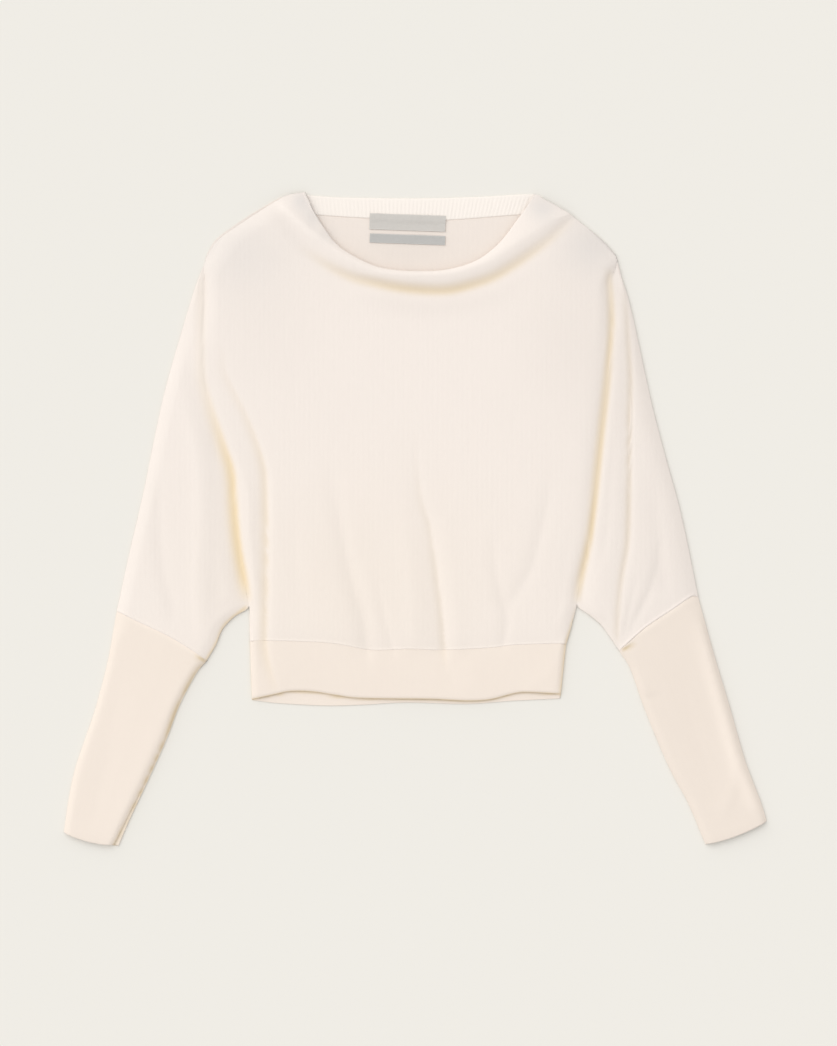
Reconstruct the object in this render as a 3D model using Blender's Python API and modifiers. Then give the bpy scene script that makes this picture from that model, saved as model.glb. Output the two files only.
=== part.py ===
"""Cropped sweater with batwing sleeves and a soft draped neck, laid flat on its back.

The garment lies in the XY plane with its neck towards +Y and its front up. Places on it are
given in millimetres: ACROSS from the left-most point of the left cuff, and DOWN from the neck
corner. The function place() turns them into metres about the middle of the whole outline.
"""
import math

import bpy
import bmesh
import numpy as np

MM = 0.001

# Driving dimensions of the laid-out garment, in millimetres
WIDTH = 702.5            # cuff tip to cuff tip
LENGTH = 652.6           # neck corner to the lower tip of the cuffs
WALL = 1.6               # thickness of the knit
SEAM_GAP = 0.4           # clearance between two pieces at a seam
EDGE_HEIGHT = 3.7        # top of the front where it comes down on the back
CHEST_HEIGHT = 6.0       # top of the front over most of the body
SLEEVE_HEIGHT = 5.6      # top of the front over the sleeves
BAND_HEIGHT = 5.2        # top of the hem band
CUFF_HEIGHT = 5.0        # top of the cuffs
BACK_PEEK = 2.4          # how far the back shows above the left shoulder

# Outline, (across, down)
SHOULDER_LEFT = [(240, 0), (227, 1.5), (218, 5), (205, 13), (180, 29), (151, 50), (140.7, 71)]
SHOULDER_RIGHT = [(470.8, 1.8), (479.5, 6.6), (500, 17.7), (527.4, 38.5), (543, 52), (553, 67)]
SLEEVE_LEFT = [(140.7, 71), (132, 93), (117.6, 140), (99, 207), (79, 303), (68, 350), (53, 418)]
SLEEVE_RIGHT = [(553, 67), (557, 83), (567, 117), (586.6, 207), (601, 263), (617, 322), (634, 404)]
UNDERARM_LEFT = [(185.4, 413), (179, 417), (161, 432.5), (153.6, 449), (142.7, 467.5)]
UNDERARM_RIGHT = [(512.6, 411.4), (527, 423.5), (540, 435), (547.6, 446.5), (555.3, 458)]
SIDE_LEFT = [(185.4, 413), (185.6, 430), (186, 448)]
SIDE_RIGHT = [(512.6, 411.4), (507, 435), (502, 452)]
CUFF_SEAM_LEFT = [(53, 418), (77, 430), (102.5, 442), (128, 457), (142.7, 467.5)]
CUFF_SEAM_RIGHT = [(634, 404), (626.7, 404), (606, 418), (581, 435), (555.3, 458)]
HEM_SEAM = [(186, 448), (204, 447.6), (265, 450), (307, 457), (345, 456), (378, 457),
            (426, 454.6), (449, 452), (494, 450.4), (502, 452)]
FRONT_HEM = [(188, 507), (211, 503), (227, 499.5), (249, 500), (272, 504), (298, 507), (366, 507.3),
             (402, 509), (426, 507.7), (449, 501.8), (463, 500), (496.5, 501.4)]
BACK_HEM = [(188, 507), (213, 510), (260, 512.5), (298, 511.7), (343, 509.4), (402, 510.8),
            (449, 507.7), (496.5, 505.4)]
NECK_SEAM = [(231, 24), (249, 22), (281, 24), (330, 26.4), (384, 27), (456, 22), (479, 24)]
NECK_TOP = [(228, 8), (240, 2.4), (276, 4.5), (356, 5.5), (416, 4), (470, 1.6), (483, 11)]

# Cuffs: their two long edges from the seam to the opening, (across, down)
CUFF_OUTER_LEFT = [(53, 418), (44, 468), (32.4, 513), (20.9, 547), (10.7, 578), (4.6, 608),
                   (0, 639.3)]
CUFF_INNER_LEFT = [(142.7, 467.5), (132, 481), (115.3, 513), (102.5, 546.5), (83.8, 588),
                   (66, 626), (54.6, 652.6)]
CUFF_OUTER_RIGHT = [(634, 404), (649.7, 460.5), (665, 511.5), (681, 567), (696.4, 608),
                    (702.5, 628)]
CUFF_INNER_RIGHT = [(555.3, 458), (566.8, 477), (580.8, 516.6), (604.6, 573.5), (624, 610),
                    (641.3, 651)]
CUFF_OPENING_BOW = 3.0   # how far the opening's middle hangs below a straight line
LIP_WIDTH = 2.5          # how far the left cuff's under layer shows beyond the upper one
LIP_DROP = 1.1           # and how much lower it lies
CUFF_SLIP_LEFT = 4.5     # how much further it shows at the opening

# Deep folds where the body lies over the sleeves, (across, down)
FOLD_LEFT = [(140.7, 71), (140.7, 109), (140, 172), (148, 223), (157, 255), (168, 287),
             (170, 319), (175, 350), (179, 382), (185.4, 413)]
FOLD_RIGHT = [(553, 67), (547, 90), (547.3, 117), (541.7, 188), (535, 240), (530.8, 287),
              (528.4, 319), (523.7, 350), (514, 395), (512.6, 411.4)]
SLEEVE_FOLD_RIGHT = [(553, 67), (559, 99), (565.7, 172), (565.7, 220), (564, 303), (565, 326),
                     (561, 358), (554.8, 390), (553, 420), (559, 455)]

# How deep the left fold, the right fold and the right sleeve's fold are, down the garment
FOLD_DEPTHS = (
    # down, left, right, sleeve
    (67, 0.0, 0.0, 0.0),
    (110, 0.2, 1.4, 0.2),
    (200, 0.5, 2.8, 1.2),
    (255, 1.6, 3.0, 1.8),
    (300, 3.2, 3.2, 2.4),
    (360, 3.6, 3.4, 2.4),
    (395, 3.2, 3.2, 1.8),
    (415, 1.8, 1.8, 1.2),
    (460, 0.6, 0.6, 0.0),
)

# Rows of the draped neck: how far along each shoulder from the neck corner the row starts,
# how far down its middle hangs, how squarely it turns on each side, and its heights
NECK_ROWS = (
    # left, right, middle, turn_left, turn_right, edge, height_side, height_middle
    (0.0, 0.0, 79.0, 2.9, 2.9, 6.4, 6.9, 7.4),
    (5.0, 6.0, 81.5, 2.9, 2.7, 6.6, 7.6, 9.8),
    (13.0, 14.0, 85.5, 3.0, 2.5, 6.2, 8.6, 11.4),
    (21.0, 23.0, 90.0, 3.1, 2.2, 5.2, 7.8, 9.4),
    (29.0, 33.0, 94.0, 3.2, 1.9, 4.0, 5.8, 6.0),
    (36.0, 41.0, 100.0, 3.0, 2.0, 3.8, 6.0, 5.8),
    (46.0, 51.0, 108.0, 2.7, 2.1, 3.7, 6.4, 6.8),
    (62.0, 64.0, 117.0, 2.4, 2.1, 3.7, 6.2, 6.4),
    (82.0, 80.0, 127.0, 2.3, 2.1, 3.7, 6.1, 6.0),
    (102.0, 94.0, 137.0, 2.2, 2.1, 3.7, 6.0, 6.0),
)
# Rows of the neck's edge that is turned inside, from its free edge to the fold
FACING_ROWS = (
    # inward, height
    (11.0, 2.8),
    (6.5, 2.8),
    (2.6, 3.0),
    (0.4, 4.6),
)
FACING_AT_CORNER = 0.5   # how much of its width the facing keeps at the neck corners

# Soft folds of the body and sleeves: the lines they follow, and their width and height
SOFT_FOLDS = (
    # name, line of (across, down), width, height
    ("side_left", ((158, 156), (175, 220), (194, 287), (199, 350), (200, 446)), 11, -1.6),
    ("hem_a", ((265, 266), (277, 330), (286, 389), (303, 455)), 10, -1.5),
    ("hem_b", ((312, 393), (329, 450)), 8, -0.6),
    ("hem_c", ((355, 294), (366, 365), (378, 452)), 12, -2.2),
    ("hem_d", ((430, 360), (428, 398), (437, 450)), 9, -0.8),
    ("hem_e", ((484, 294), (477, 353), (449, 436)), 10, -0.9),
    ("chest_left", ((229, 325), (234, 400)), 12, -0.6),
    ("ridge_c", ((336, 300), (346, 370), (353, 452)), 14, 1.6),
    ("ridge_side", ((186, 255), (186, 330), (190, 440)), 8, 0.9),
    ("sleeve_left", ((116, 182), (138, 279), (135, 350), (144, 438)), 12, -0.8),
    ("sleeve_low_left", ((95, 319), (104, 430)), 10, -0.6),
    ("sleeve_low_right", ((591, 295), (596, 366), (599, 395)), 10, -0.6),
)

# Front hem's waves: where the lower edge of the front lifts clear of the back
HEM_LIFTS = (
    # across, width, lift
    (200, 16, 2.0),
    (362, 60, 2.6),
    (486, 18, 2.0),
)

# Columns of the body beside each edge, as distances in from it
BESIDE_EDGE = (0.0, 1.3, 3.4, 7.0, 12.0, 19.0)
BODY_COLUMNS = 23        # columns between the two edges' own columns
FOLD_ROWS = 17           # rows along the two deep folds
UNDERARM_ROWS = 4        # rows from the underarm to the cuff seam
SIDE_ROWS = 3            # rows from the underarm to the hem seam
EDGE_ROUND = 7.0         # width over which an edge rounds down
NARROW_SLEEVE = 40.0     # a sleeve's stretch narrower than this lies flatter
LEFT_SLEEVE_COLUMNS = (0.0, 0.02, 0.06, 0.12, 0.20, 0.31, 0.43, 0.56, 0.69, 0.80, 0.88, 0.94,
                       0.98, 1.0)
LOBE_COLUMNS = (0.0, 0.12, 0.32, 0.56, 0.80, 0.93)
STRIP_COLUMNS = (0.0, 0.05, 0.14, 0.28, 0.43, 0.58, 0.73, 0.85, 0.93, 0.975, 1.0)

# How the body's rows run and rise
NECK_WIDEN = 2.6         # how soon a neck row reaches the height of its middle
FOLD_SAG = 77.0          # how far the first row between the deep folds hangs
UNDERARM_SAG = 9.0       # how far the last one hangs
SAG_POWER = 1.3
FOLD_TURNS = (2.2, 2.1)  # how squarely those rows turn on the left and right
SHOULDER_FADE = 4.0      # the low edge ends after one part in this many of the rows
UNDERARM_FADE = 5.0      # and comes back over the last part in this many
HEM_ROUND = 4.0          # width over which the hem seam rounds down at the sides

# What a deep fold does to the cloth on its two sides
BODY_SINK = 0.75         # share of its depth by which the body goes down beside it
BODY_SWELL = 0.35        # share by which the body swells further in
SWELL_AT = 9.0
SWELL_WIDTH = 5.0
SLEEVE_SINK = 0.7
SLEEVE_FOLD_ROUND = 9.0
STRIP_SINK = 0.75
LOBE_SWELL = 0.8
LOBE_SWELL_WIDTH = 7.0
LOBE_ROUND = 6.0

# The back's edge at the shoulders: where the rib ends, and which way it shows
BACK_START_LEFT = 0.14
BACK_START_RIGHT = 0.16
PEEK_REACH = 1.05
PEEK_POWER = 0.7
PEEK_WAY = (-0.6, -0.8)

# The flattened tubes
TURN_ANGLES = (-60, -25, 10, 45)
BAND_STATIONS = 5
BAND_COLUMNS = 27
BAND_CORNER = 5.0        # width over which the band's height drops at its sides
BAND_CORNER_DROP = 0.5
CUFF_STATIONS = 13
CUFF_COLUMNS = (0.0, 0.07, 0.2, 0.35, 0.5, 0.65, 0.8, 0.92, 1.0)
SEAM_FADE = 2.0          # the seam's bend is gone after one part in this many of a cuff
LIP_FADE = 5.0           # the lip is full after one part in this many
LIP_AT_SEAM = 0.3        # how much of its width it has at the seam

# Back neck rib
RIB_PITCH = 3.8
RIB_BASE = 1.6
RIB_RAISE = 0.8
RIB_PROFILE = ((0.0, 0.0), (0.2, 1.0), (0.6, 1.0), (0.8, 0.0))   # share of the pitch, share raised
RIB_BEVEL_SHARE = 0.04

# Labels at the back neck: middle of the upper edge, width, height, tilt in degrees
LABEL_THICK = 1.0
LABEL_ROWS = (0.0, 0.2, 0.36, 0.6, 1.0)
LABEL_COLUMNS = (-0.5, -0.3, -0.1, 0.1, 0.3, 0.5)
LABEL_BEND = (0.364, 0.591)   # shares of its height between which it comes down off the rib
LABELS = (
    # name, across, down, width, height, tilt, underside, underside_at_top
    ("label_main", 343.8, 21.7, 76.0, 16.0, -2.0, 1.9, 2.8),
    ("label_small", 343.6, 41.9, 75.5, 9.0, -2.0, 1.9, 1.9),
)


def place(across, down, height=0.0):
    """A point of the garment in metres about the middle of its outline."""
    return ((across - WIDTH / 2) * MM, (LENGTH / 2 - down) * MM, height * MM)


def smooth_curve(points, dense=24):
    """Many points on a smooth curve through a few."""
    knots = np.array(points, dtype=float)
    ends = np.vstack([2 * knots[0] - knots[1], knots, 2 * knots[-1] - knots[-2]])
    step = np.linspace(0.0, 1.0, dense, endpoint=False)[:, None]
    pieces = []
    for i in range(1, len(ends) - 2):
        a, b, c, d = ends[i - 1], ends[i], ends[i + 1], ends[i + 2]
        pieces.append(0.5 * (2 * b + (c - a) * step + (2 * a - 5 * b + 4 * c - d) * step ** 2
                             + (3 * b - a - 3 * c + d) * step ** 3))
    return np.vstack(pieces + [knots[-1:]])


def along(points, fractions):
    """Points of a smooth curve at fractions of its length."""
    curve = smooth_curve(points)
    length = np.concatenate([[0], np.cumsum(np.hypot(*np.diff(curve, axis=0).T))])
    at = np.asarray(fractions, dtype=float) * length[-1]
    return np.column_stack([np.interp(at, length, curve[:, 0]), np.interp(at, length, curve[:, 1])])


def curve_length(points):
    """Length of the smooth curve through some points."""
    return float(np.hypot(*np.diff(smooth_curve(points), axis=0).T).sum())


def down_at(points, across):
    """How far down a left-to-right curve is at given places across."""
    curve = smooth_curve(points)
    return np.interp(across, curve[:, 0], curve[:, 1])


def rounded(distance, width=EDGE_ROUND):
    """A rise from 0 at an edge to 1, like a quarter of an ellipse."""
    left = 1.0 - np.clip(np.asarray(distance, dtype=float) / width, 0.0, 1.0)
    return np.sqrt(1.0 - left * left)


def fold_depth(down, column):
    """Depth of a deep fold at a place down the garment."""
    table = np.array(FOLD_DEPTHS, dtype=float)
    return np.interp(down, table[:, 0], table[:, column])


def soft_relief(across, down):
    """Height that the soft folds add at a point."""
    total = 0.0
    for _, line, width, height in SOFT_FOLDS:
        knots = np.array(line, dtype=float)
        span = knots[-1, 1] - knots[0, 1]
        share = np.clip((down - knots[0, 1]) / span, -0.3, 1.2)
        centre = np.interp(down, knots[:, 1], knots[:, 0])
        strength = math.sin(math.pi * min(max((share + 0.3) / 1.8, 0.0), 1.0)) ** 1.4
        total += height * strength * math.exp(-((across - centre) / width) ** 2)
    return total


def hem_height(across):
    """Height of the hem seam's top across the front."""
    return BAND_HEIGHT + 0.5 * soft_relief(across, down_at(HEM_SEAM, across))


def hem_lift(across):
    """How far the front's lower edge lifts."""
    return sum(lift * math.exp(-((across - centre) / width) ** 2) for centre, width, lift in HEM_LIFTS)


def body_columns(width):
    """Distances from the left edge of a row's columns."""
    beside = np.array(BESIDE_EDGE)
    middle = np.linspace(beside[-1], width - beside[-1], BODY_COLUMNS + 2)[1:-1]
    return np.concatenate([beside, middle, (width - beside)[::-1]])


def body_row(left, right, sag, turn_left, turn_right):
    """Points (across, down) of one row of the body, and each one's distance to the nearer edge."""
    width = right[0] - left[0]
    offset = body_columns(width)
    share = offset / width
    turn = np.where(share < 0.5, turn_left, turn_right)
    hang = sag * (1.0 - np.abs(2.0 * share - 1.0) ** turn)
    down = left[1] + (right[1] - left[1]) * share + hang
    return np.column_stack([left[0] + offset, down]), offset, width - offset


def fold_row_height(points, from_left, from_right, down_left, down_right):
    """Heights of a body row that runs from the left deep fold to the right one."""
    heights = []
    for (across, down), near_left, near_right in zip(points, from_left, from_right):
        height = CHEST_HEIGHT + soft_relief(across, down)
        for distance, row_down, column in ((near_left, down_left, 1), (near_right, down_right, 2)):
            depth = fold_depth(row_down, column)
            height -= depth * (1.0 - rounded(distance)) * BODY_SINK
            height += BODY_SWELL * depth * math.exp(-((distance - SWELL_AT) / SWELL_WIDTH) ** 2)
        heights.append(height)
    return np.array(heights)


def neck_rows():
    """Rows of the draped neck, from its turned-in edge down."""
    rows = []
    length_left = curve_length(SHOULDER_LEFT)
    length_right = curve_length(SHOULDER_RIGHT)
    for left, right, middle, turn_left, turn_right, edge, side, centre in NECK_ROWS:
        start = along(SHOULDER_LEFT, [left / length_left])[0]
        end = along(SHOULDER_RIGHT, [right / length_right])[0]
        sag = middle - (start[1] + end[1]) / 2
        points, near_left, near_right = body_row(start, end, sag, turn_left, turn_right)
        nearest = np.minimum(near_left, near_right)
        inner = np.clip(nearest / (near_left + near_right) * NECK_WIDEN, 0.0, 1.0)
        inside = side + (centre - side) * inner * inner * (3 - 2 * inner)
        rows.append(np.column_stack([points, edge + (inside - edge) * rounded(nearest)]))
    return facing_rows(rows[0]) + rows


def fold_rows():
    """Rows of the body between the two deep folds."""
    rows = []
    fractions = np.linspace(0.0, 1.0, FOLD_ROWS + 1)
    starts = along(FOLD_LEFT, fractions)
    ends = along(FOLD_RIGHT, fractions)
    for share, start, end in zip(fractions, starts, ends):
        sag = FOLD_SAG * (1.0 - share) ** SAG_POWER + UNDERARM_SAG * share
        points, near_left, near_right = body_row(start, end, sag, *FOLD_TURNS)
        height = fold_row_height(points, near_left, near_right, start[1], end[1])
        at_shoulder = 1.0 - (share * SHOULDER_FADE) ** 2
        at_underarm = 1.0 - (1.0 - share) * UNDERARM_FADE
        low = EDGE_HEIGHT + (height - EDGE_HEIGHT) * rounded(np.minimum(near_left, near_right))
        edge_share = max(0.0, at_shoulder, at_underarm)
        rows.append(np.column_stack([points, height + (low - height) * edge_share]))
    return rows


def side_rows(underarm):
    """Rows of the body from the underarm down to the hem seam."""
    rows = []
    seam_points, near_left, near_right = body_row(SIDE_LEFT[-1], SIDE_RIGHT[-1], 0.0, 2.0, 2.0)
    seam_down = down_at(HEM_SEAM, seam_points[:, 0])
    seam_height = np.array([hem_height(across) for across in seam_points[:, 0]])
    nearest = rounded(np.minimum(near_left, near_right), HEM_ROUND)
    seam_height = EDGE_HEIGHT + (seam_height - EDGE_HEIGHT) * nearest
    seam = np.column_stack([seam_points[:, 0], seam_down - SEAM_GAP, seam_height])
    for i in range(1, SIDE_ROWS + 1):
        share = i / SIDE_ROWS
        row = underarm + (seam - underarm) * share
        if i < SIDE_ROWS:
            soft = np.array([soft_relief(across, down) for across, down, _ in row])
            inner = rounded(np.minimum(near_left, near_right))
            height = EDGE_HEIGHT + (CHEST_HEIGHT + soft - EDGE_HEIGHT) * inner
            row[:, 2] = height + (row[:, 2] - height) * share ** 2
            row[0, :2] = along(SIDE_LEFT, [share])[0]
            row[-1, :2] = along(SIDE_RIGHT, [share])[0]
        rows.append(row)
    return rows


def body_grid():
    """The body of the front from the turned-in neck edge down to the hem seam."""
    rows = neck_rows() + fold_rows()
    return np.array(rows + side_rows(rows[-1]))


def facing_rows(fold):
    """Rows of the neck edge turned inside, worked out from the fold's own row."""
    tangent = np.gradient(fold[:, :2], axis=0)
    normal = np.column_stack([-tangent[:, 1], tangent[:, 0]])
    normal /= np.linalg.norm(normal, axis=1)[:, None]
    share = np.linspace(0.0, 1.0, len(fold))
    keep = FACING_AT_CORNER + (1.0 - FACING_AT_CORNER) * np.sin(math.pi * share) ** 0.6
    rows = []
    for inward, height in FACING_ROWS:
        inset = (inward * keep)[:, None]
        rows.append(np.column_stack([fold[:, :2] + normal * inset, np.full(len(fold), height)]))
    return rows


def sleeve_rows(fold, underarm, outer):
    """Where each row of a sleeve starts on the body's side and ends on the outer edge."""
    fold_length = curve_length(fold)
    turn = fold_length / (fold_length + curve_length(underarm))
    inner = np.vstack([along(fold, np.linspace(0.0, 1.0, FOLD_ROWS + 1)),
                       along(underarm, np.linspace(0.0, 1.0, UNDERARM_ROWS + 1))[1:]])
    shares = np.concatenate([np.linspace(0.0, turn, FOLD_ROWS + 1),
                             np.linspace(turn, 1.0, UNDERARM_ROWS + 1)[1:]])
    return inner, along(outer, shares), shares


def seam_row(seam, columns, count_from_inner):
    """Last row of a sleeve, on its cuff seam, short of it by the gap."""
    points = along(seam, columns if not count_from_inner else 1.0 - columns)
    points[:, 1] -= SEAM_GAP
    return points


def left_sleeve_grid(fold_column):
    """The left sleeve, columns from its outer edge to the deep fold or the underarm."""
    inner, outer, shares = sleeve_rows(FOLD_LEFT, UNDERARM_LEFT, SLEEVE_LEFT)
    columns = np.array(LEFT_SLEEVE_COLUMNS)
    grid = []
    for i in range(len(shares)):
        points = outer[i] + (inner[i] - outer[i]) * columns[:, None]
        if i == len(shares) - 1:
            points = seam_row(CUFF_SEAM_LEFT, columns, False)
        elif i > FOLD_ROWS:
            bend = (i - FOLD_ROWS) / UNDERARM_ROWS
            line = outer[-1] + (inner[-1] - outer[-1]) * columns[:, None]
            points = points + (seam_row(CUFF_SEAM_LEFT, columns, False) - line) * bend ** 2
            points[0] = outer[i]
            points[-1] = inner[i]
        width = np.hypot(*(inner[i] - outer[i]))
        from_outer = columns * width
        from_inner = (1.0 - columns) * width
        height = sleeve_height(points, from_outer, from_inner, i, fold_depth(inner[i][1], 1))
        if i <= FOLD_ROWS:
            height[-1] = fold_column[i][2]
        grid.append(np.column_stack([points, height]))
    return np.array(grid)


def sleeve_height(points, from_outer, from_inner, row, depth):
    """Heights across a sleeve's row: low at its outer edge, and at the fold or the underarm."""
    relief = np.array([soft_relief(across, down) for across, down in points])
    narrow = min(1.0, (from_outer[0] + from_inner[0]) / NARROW_SLEEVE) ** 2
    rise = (SLEEVE_HEIGHT - EDGE_HEIGHT + relief) * narrow
    height = EDGE_HEIGHT + rise * rounded(from_outer)
    if row > FOLD_ROWS:
        return np.minimum(height, EDGE_HEIGHT + rise * rounded(from_inner))
    sunk = (1.0 - rounded(from_inner, SLEEVE_FOLD_ROUND)) * depth * SLEEVE_SINK
    return np.maximum(height - sunk, EDGE_HEIGHT)


def right_sleeve_grid(fold_column):
    """The right sleeve, columns from the deep fold, over its own fold, to the outer edge."""
    inner, outer, shares = sleeve_rows(FOLD_RIGHT, UNDERARM_RIGHT, SLEEVE_RIGHT)
    middle = along(SLEEVE_FOLD_RIGHT, shares)
    near = np.array(LOBE_COLUMNS)
    far = np.array(STRIP_COLUMNS)
    grid = []
    for i in range(len(shares)):
        lobe = inner[i] + (middle[i] - inner[i]) * near[:, None]
        rest = middle[i] + (outer[i] - middle[i]) * far[:, None]
        points = np.vstack([lobe, rest])
        width = np.hypot(*np.diff(points, axis=0).T)
        run = np.concatenate([[0.0], np.cumsum(width)])
        if i == len(shares) - 1:
            points = seam_row(CUFF_SEAM_RIGHT, run / run[-1], True)
        elif i > FOLD_ROWS:
            bend = (i - FOLD_ROWS) / UNDERARM_ROWS
            line = inner[-1] + (outer[-1] - inner[-1]) * (run / run[-1])[:, None]
            seam = seam_row(CUFF_SEAM_RIGHT, run / run[-1], True)
            points = points + (seam - line) * bend ** 2
            points[0] = inner[i]
            points[-1] = outer[i]
        height = sleeve_height(points, run[-1] - run, run, i, fold_depth(inner[i][1], 2))
        beyond = run - run[len(near)]
        depth = fold_depth(middle[i][1], 3)
        narrow = min(1.0, beyond[-1] / NARROW_SLEEVE) ** 2
        strip = EDGE_HEIGHT + (SLEEVE_HEIGHT - EDGE_HEIGHT) * narrow
        low = max(EDGE_HEIGHT, strip - STRIP_SINK * depth)
        outside = low + (strip - low) * rounded(beyond, SLEEVE_FOLD_ROUND)
        outside = np.minimum(outside, EDGE_HEIGHT + (strip - EDGE_HEIGHT) * rounded(run[-1] - run))
        swell = np.exp(-((beyond + SWELL_AT) / LOBE_SWELL_WIDTH) ** 2) * rounded(run)
        lobe_height = height + LOBE_SWELL * depth * swell
        lobe = low + (lobe_height - low) * rounded(-beyond, LOBE_ROUND)
        height = np.where(beyond < 0, lobe, outside)
        if i <= FOLD_ROWS:
            height[0] = fold_column[i][2]
        grid.append(np.column_stack([points, height]))
    return np.array(grid)


def tube_grid(rows):
    """Close each row of points into a ring."""
    return np.array([np.vstack([row, row[:1]])[::-1] for row in rows])


def sheet(grids):
    """One open surface from grids that share points along their edges."""
    work = bmesh.new()
    for grid in grids:
        verts = [[work.verts.new(place(*point)) for point in row] for row in grid]
        for upper, lower in zip(verts, verts[1:]):
            for c in range(len(upper) - 1):
                work.faces.new((upper[c], lower[c], lower[c + 1], upper[c + 1]))
    bmesh.ops.remove_doubles(work, verts=work.verts, dist=1e-6)
    bmesh.ops.dissolve_degenerate(work, edges=work.edges, dist=1e-6)
    return work


def material(name, colour, roughness):
    """A plain Principled material."""
    made = bpy.data.materials.new(name)
    made.use_nodes = True
    shader = made.node_tree.nodes["Principled BSDF"]
    shader.inputs["Base Color"].default_value = (*colour, 1.0)
    shader.inputs["Roughness"].default_value = roughness
    shader.inputs["Metallic"].default_value = 0.0
    return made


def add_object(name, work, colour, roughness=0.9):
    """Turn a bmesh into a named object of the garment's collection."""
    mesh = bpy.data.meshes.new(name)
    work.to_mesh(mesh)
    work.free()
    mesh.shade_smooth()
    mesh.materials.append(material(name + "_cloth", colour, roughness))
    made = bpy.data.objects.new(name, mesh)
    garment.objects.link(made)
    return made


def thicken(made, thickness=WALL):
    """Give an open surface its wall, inwards from the modelled outside."""
    wall = made.modifiers.new("wall", "SOLIDIFY")
    wall.thickness = thickness * MM
    wall.offset = -1.0
    wall.use_rim = True
    wall.use_quality_normals = True
    return made


def make_front():
    """Body and both sleeves' upper layer, knitted in one, with the neck's edge turned in."""
    body = body_grid()
    first = len(FACING_ROWS) + len(NECK_ROWS)
    left_column = body[first:first + FOLD_ROWS + 1, 0]
    right_column = body[first:first + FOLD_ROWS + 1, -1]
    grids = [body, left_sleeve_grid(left_column), right_sleeve_grid(right_column)]
    return thicken(add_object("front", sheet(grids), CREAM))


def back_outline():
    """Outline of the back panel, counter-clockwise from the left shoulder's neck end."""
    count = 14
    even = np.linspace(0.0, 1.0, count)
    shoulder = along(SHOULDER_LEFT, BACK_START_LEFT + (1.0 - BACK_START_LEFT) * even)
    peek = BACK_PEEK * np.sin(math.pi * np.clip(even * PEEK_REACH, 0, 1)) ** PEEK_POWER
    shoulder = shoulder + np.outer(peek, PEEK_WAY)
    side_gap = np.array([0.0, -SEAM_GAP])
    hem = along(HEM_SEAM, np.linspace(0, 1, 30)) - np.array([0.0, SEAM_GAP])
    neck = along(NECK_SEAM, np.linspace(0, 1, 40)) + np.array([0.0, SEAM_GAP])
    neck[[0, -1], 0] += np.array([-SEAM_GAP, SEAM_GAP])
    parts = [
        shoulder,
        along(SLEEVE_LEFT, even)[1:],
        (along(CUFF_SEAM_LEFT, even) + side_gap)[1:],
        along(UNDERARM_LEFT, even)[::-1][1:],
        along(SIDE_LEFT, np.linspace(0, 1, 4))[1:-1],
        hem,
        along(SIDE_RIGHT, np.linspace(0, 1, 4))[::-1][1:],
        along(UNDERARM_RIGHT, even)[1:-1],
        (along(CUFF_SEAM_RIGHT, even) + side_gap)[::-1],
        along(SLEEVE_RIGHT, even)[::-1][1:],
        along(SHOULDER_RIGHT, 1.0 - (1.0 - BACK_START_RIGHT) * even)[1:],
        neck[::-1],
    ]
    return np.vstack(parts)


def make_back():
    """The flat back panel with its sleeves, which the whole garment rests on."""
    outline = back_outline()
    curve = bpy.data.curves.new("back", "CURVE")
    curve.dimensions = "2D"
    curve.fill_mode = "BOTH"
    curve.extrude = WALL / 2 * MM
    spline = curve.splines.new("POLY")
    spline.points.add(len(outline) - 1)
    for point, (across, down) in zip(spline.points, outline):
        point.co = (*place(across, down), 1.0)
    spline.use_cyclic_u = True
    curve.materials.append(material("back_cloth", INNER_CREAM, 0.9))
    made = bpy.data.objects.new("back", curve)
    made.location.z = WALL / 2 * MM
    garment.objects.link(made)
    return made


def ring(back_points, front_points, radius):
    """One closed ring of a flattened tube: under layer, right turn, upper layer, left turn."""
    turns = np.radians(TURN_ANGLES)
    right_end = (back_points[-1] + front_points[-1]) / 2
    left_end = (back_points[0] + front_points[0]) / 2
    across = right_end - left_end
    across[2] = 0.0
    across /= np.linalg.norm(across)
    right = [turn_point(back_points[-1], front_points[-1], across, radius, a) for a in turns]
    left = [turn_point(back_points[0], front_points[0], -across, radius, a) for a in turns[::-1]]
    return np.vstack([back_points, right, front_points[::-1], left])


def turn_point(low, high, outward, radius, angle):
    """A point of the rounded turn between an under point and an upper one."""
    share = 0.5 + 0.5 * math.sin(angle)
    return low + (high - low) * share + outward * radius * math.cos(angle)


def make_hem_band():
    """The hem band: a flattened tube whose front edge hangs in soft waves."""
    radius = BAND_HEIGHT / 2
    seam_left, seam_right = HEM_SEAM[0][0], HEM_SEAM[-1][0]
    hem_left, hem_right = BACK_HEM[0][0], BACK_HEM[-1][0]
    rows = []
    for share in np.linspace(0.0, 1.0, BAND_STATIONS):
        seam_gap = SEAM_GAP * (1.0 - share)
        left = seam_left + (hem_left - seam_left) * share + radius
        right = seam_right + (hem_right - seam_right) * share - radius
        flat = np.linspace(left, right, BAND_COLUMNS)
        width = (flat - flat[0]) / (flat[-1] - flat[0])
        seam_at = seam_left + width * (seam_right - seam_left)
        hem_at = hem_left + width * (hem_right - hem_left)
        top = down_at(HEM_SEAM, seam_at) + seam_gap
        under = top + (down_at(BACK_HEM, hem_at) - top) * share
        upper = top + (down_at(FRONT_HEM, hem_at) - top) * share
        seam_height = np.array([hem_height(across) for across in seam_at])
        hem_rise = np.array([hem_lift(across) for across in hem_at])
        height = seam_height + (BAND_HEIGHT - seam_height) * share + hem_rise * share ** 2
        from_side = np.minimum(width, 1.0 - width) * (seam_right - seam_left)
        height = height - BAND_CORNER_DROP * (1.0 - rounded(from_side, BAND_CORNER))
        low = np.column_stack([flat, under, np.zeros(len(flat))])
        high = np.column_stack([flat, upper, height])
        rows.append(ring(low, high, radius))
    return thicken(add_object("hem_band", sheet([tube_grid(rows)]), CREAM))


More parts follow.
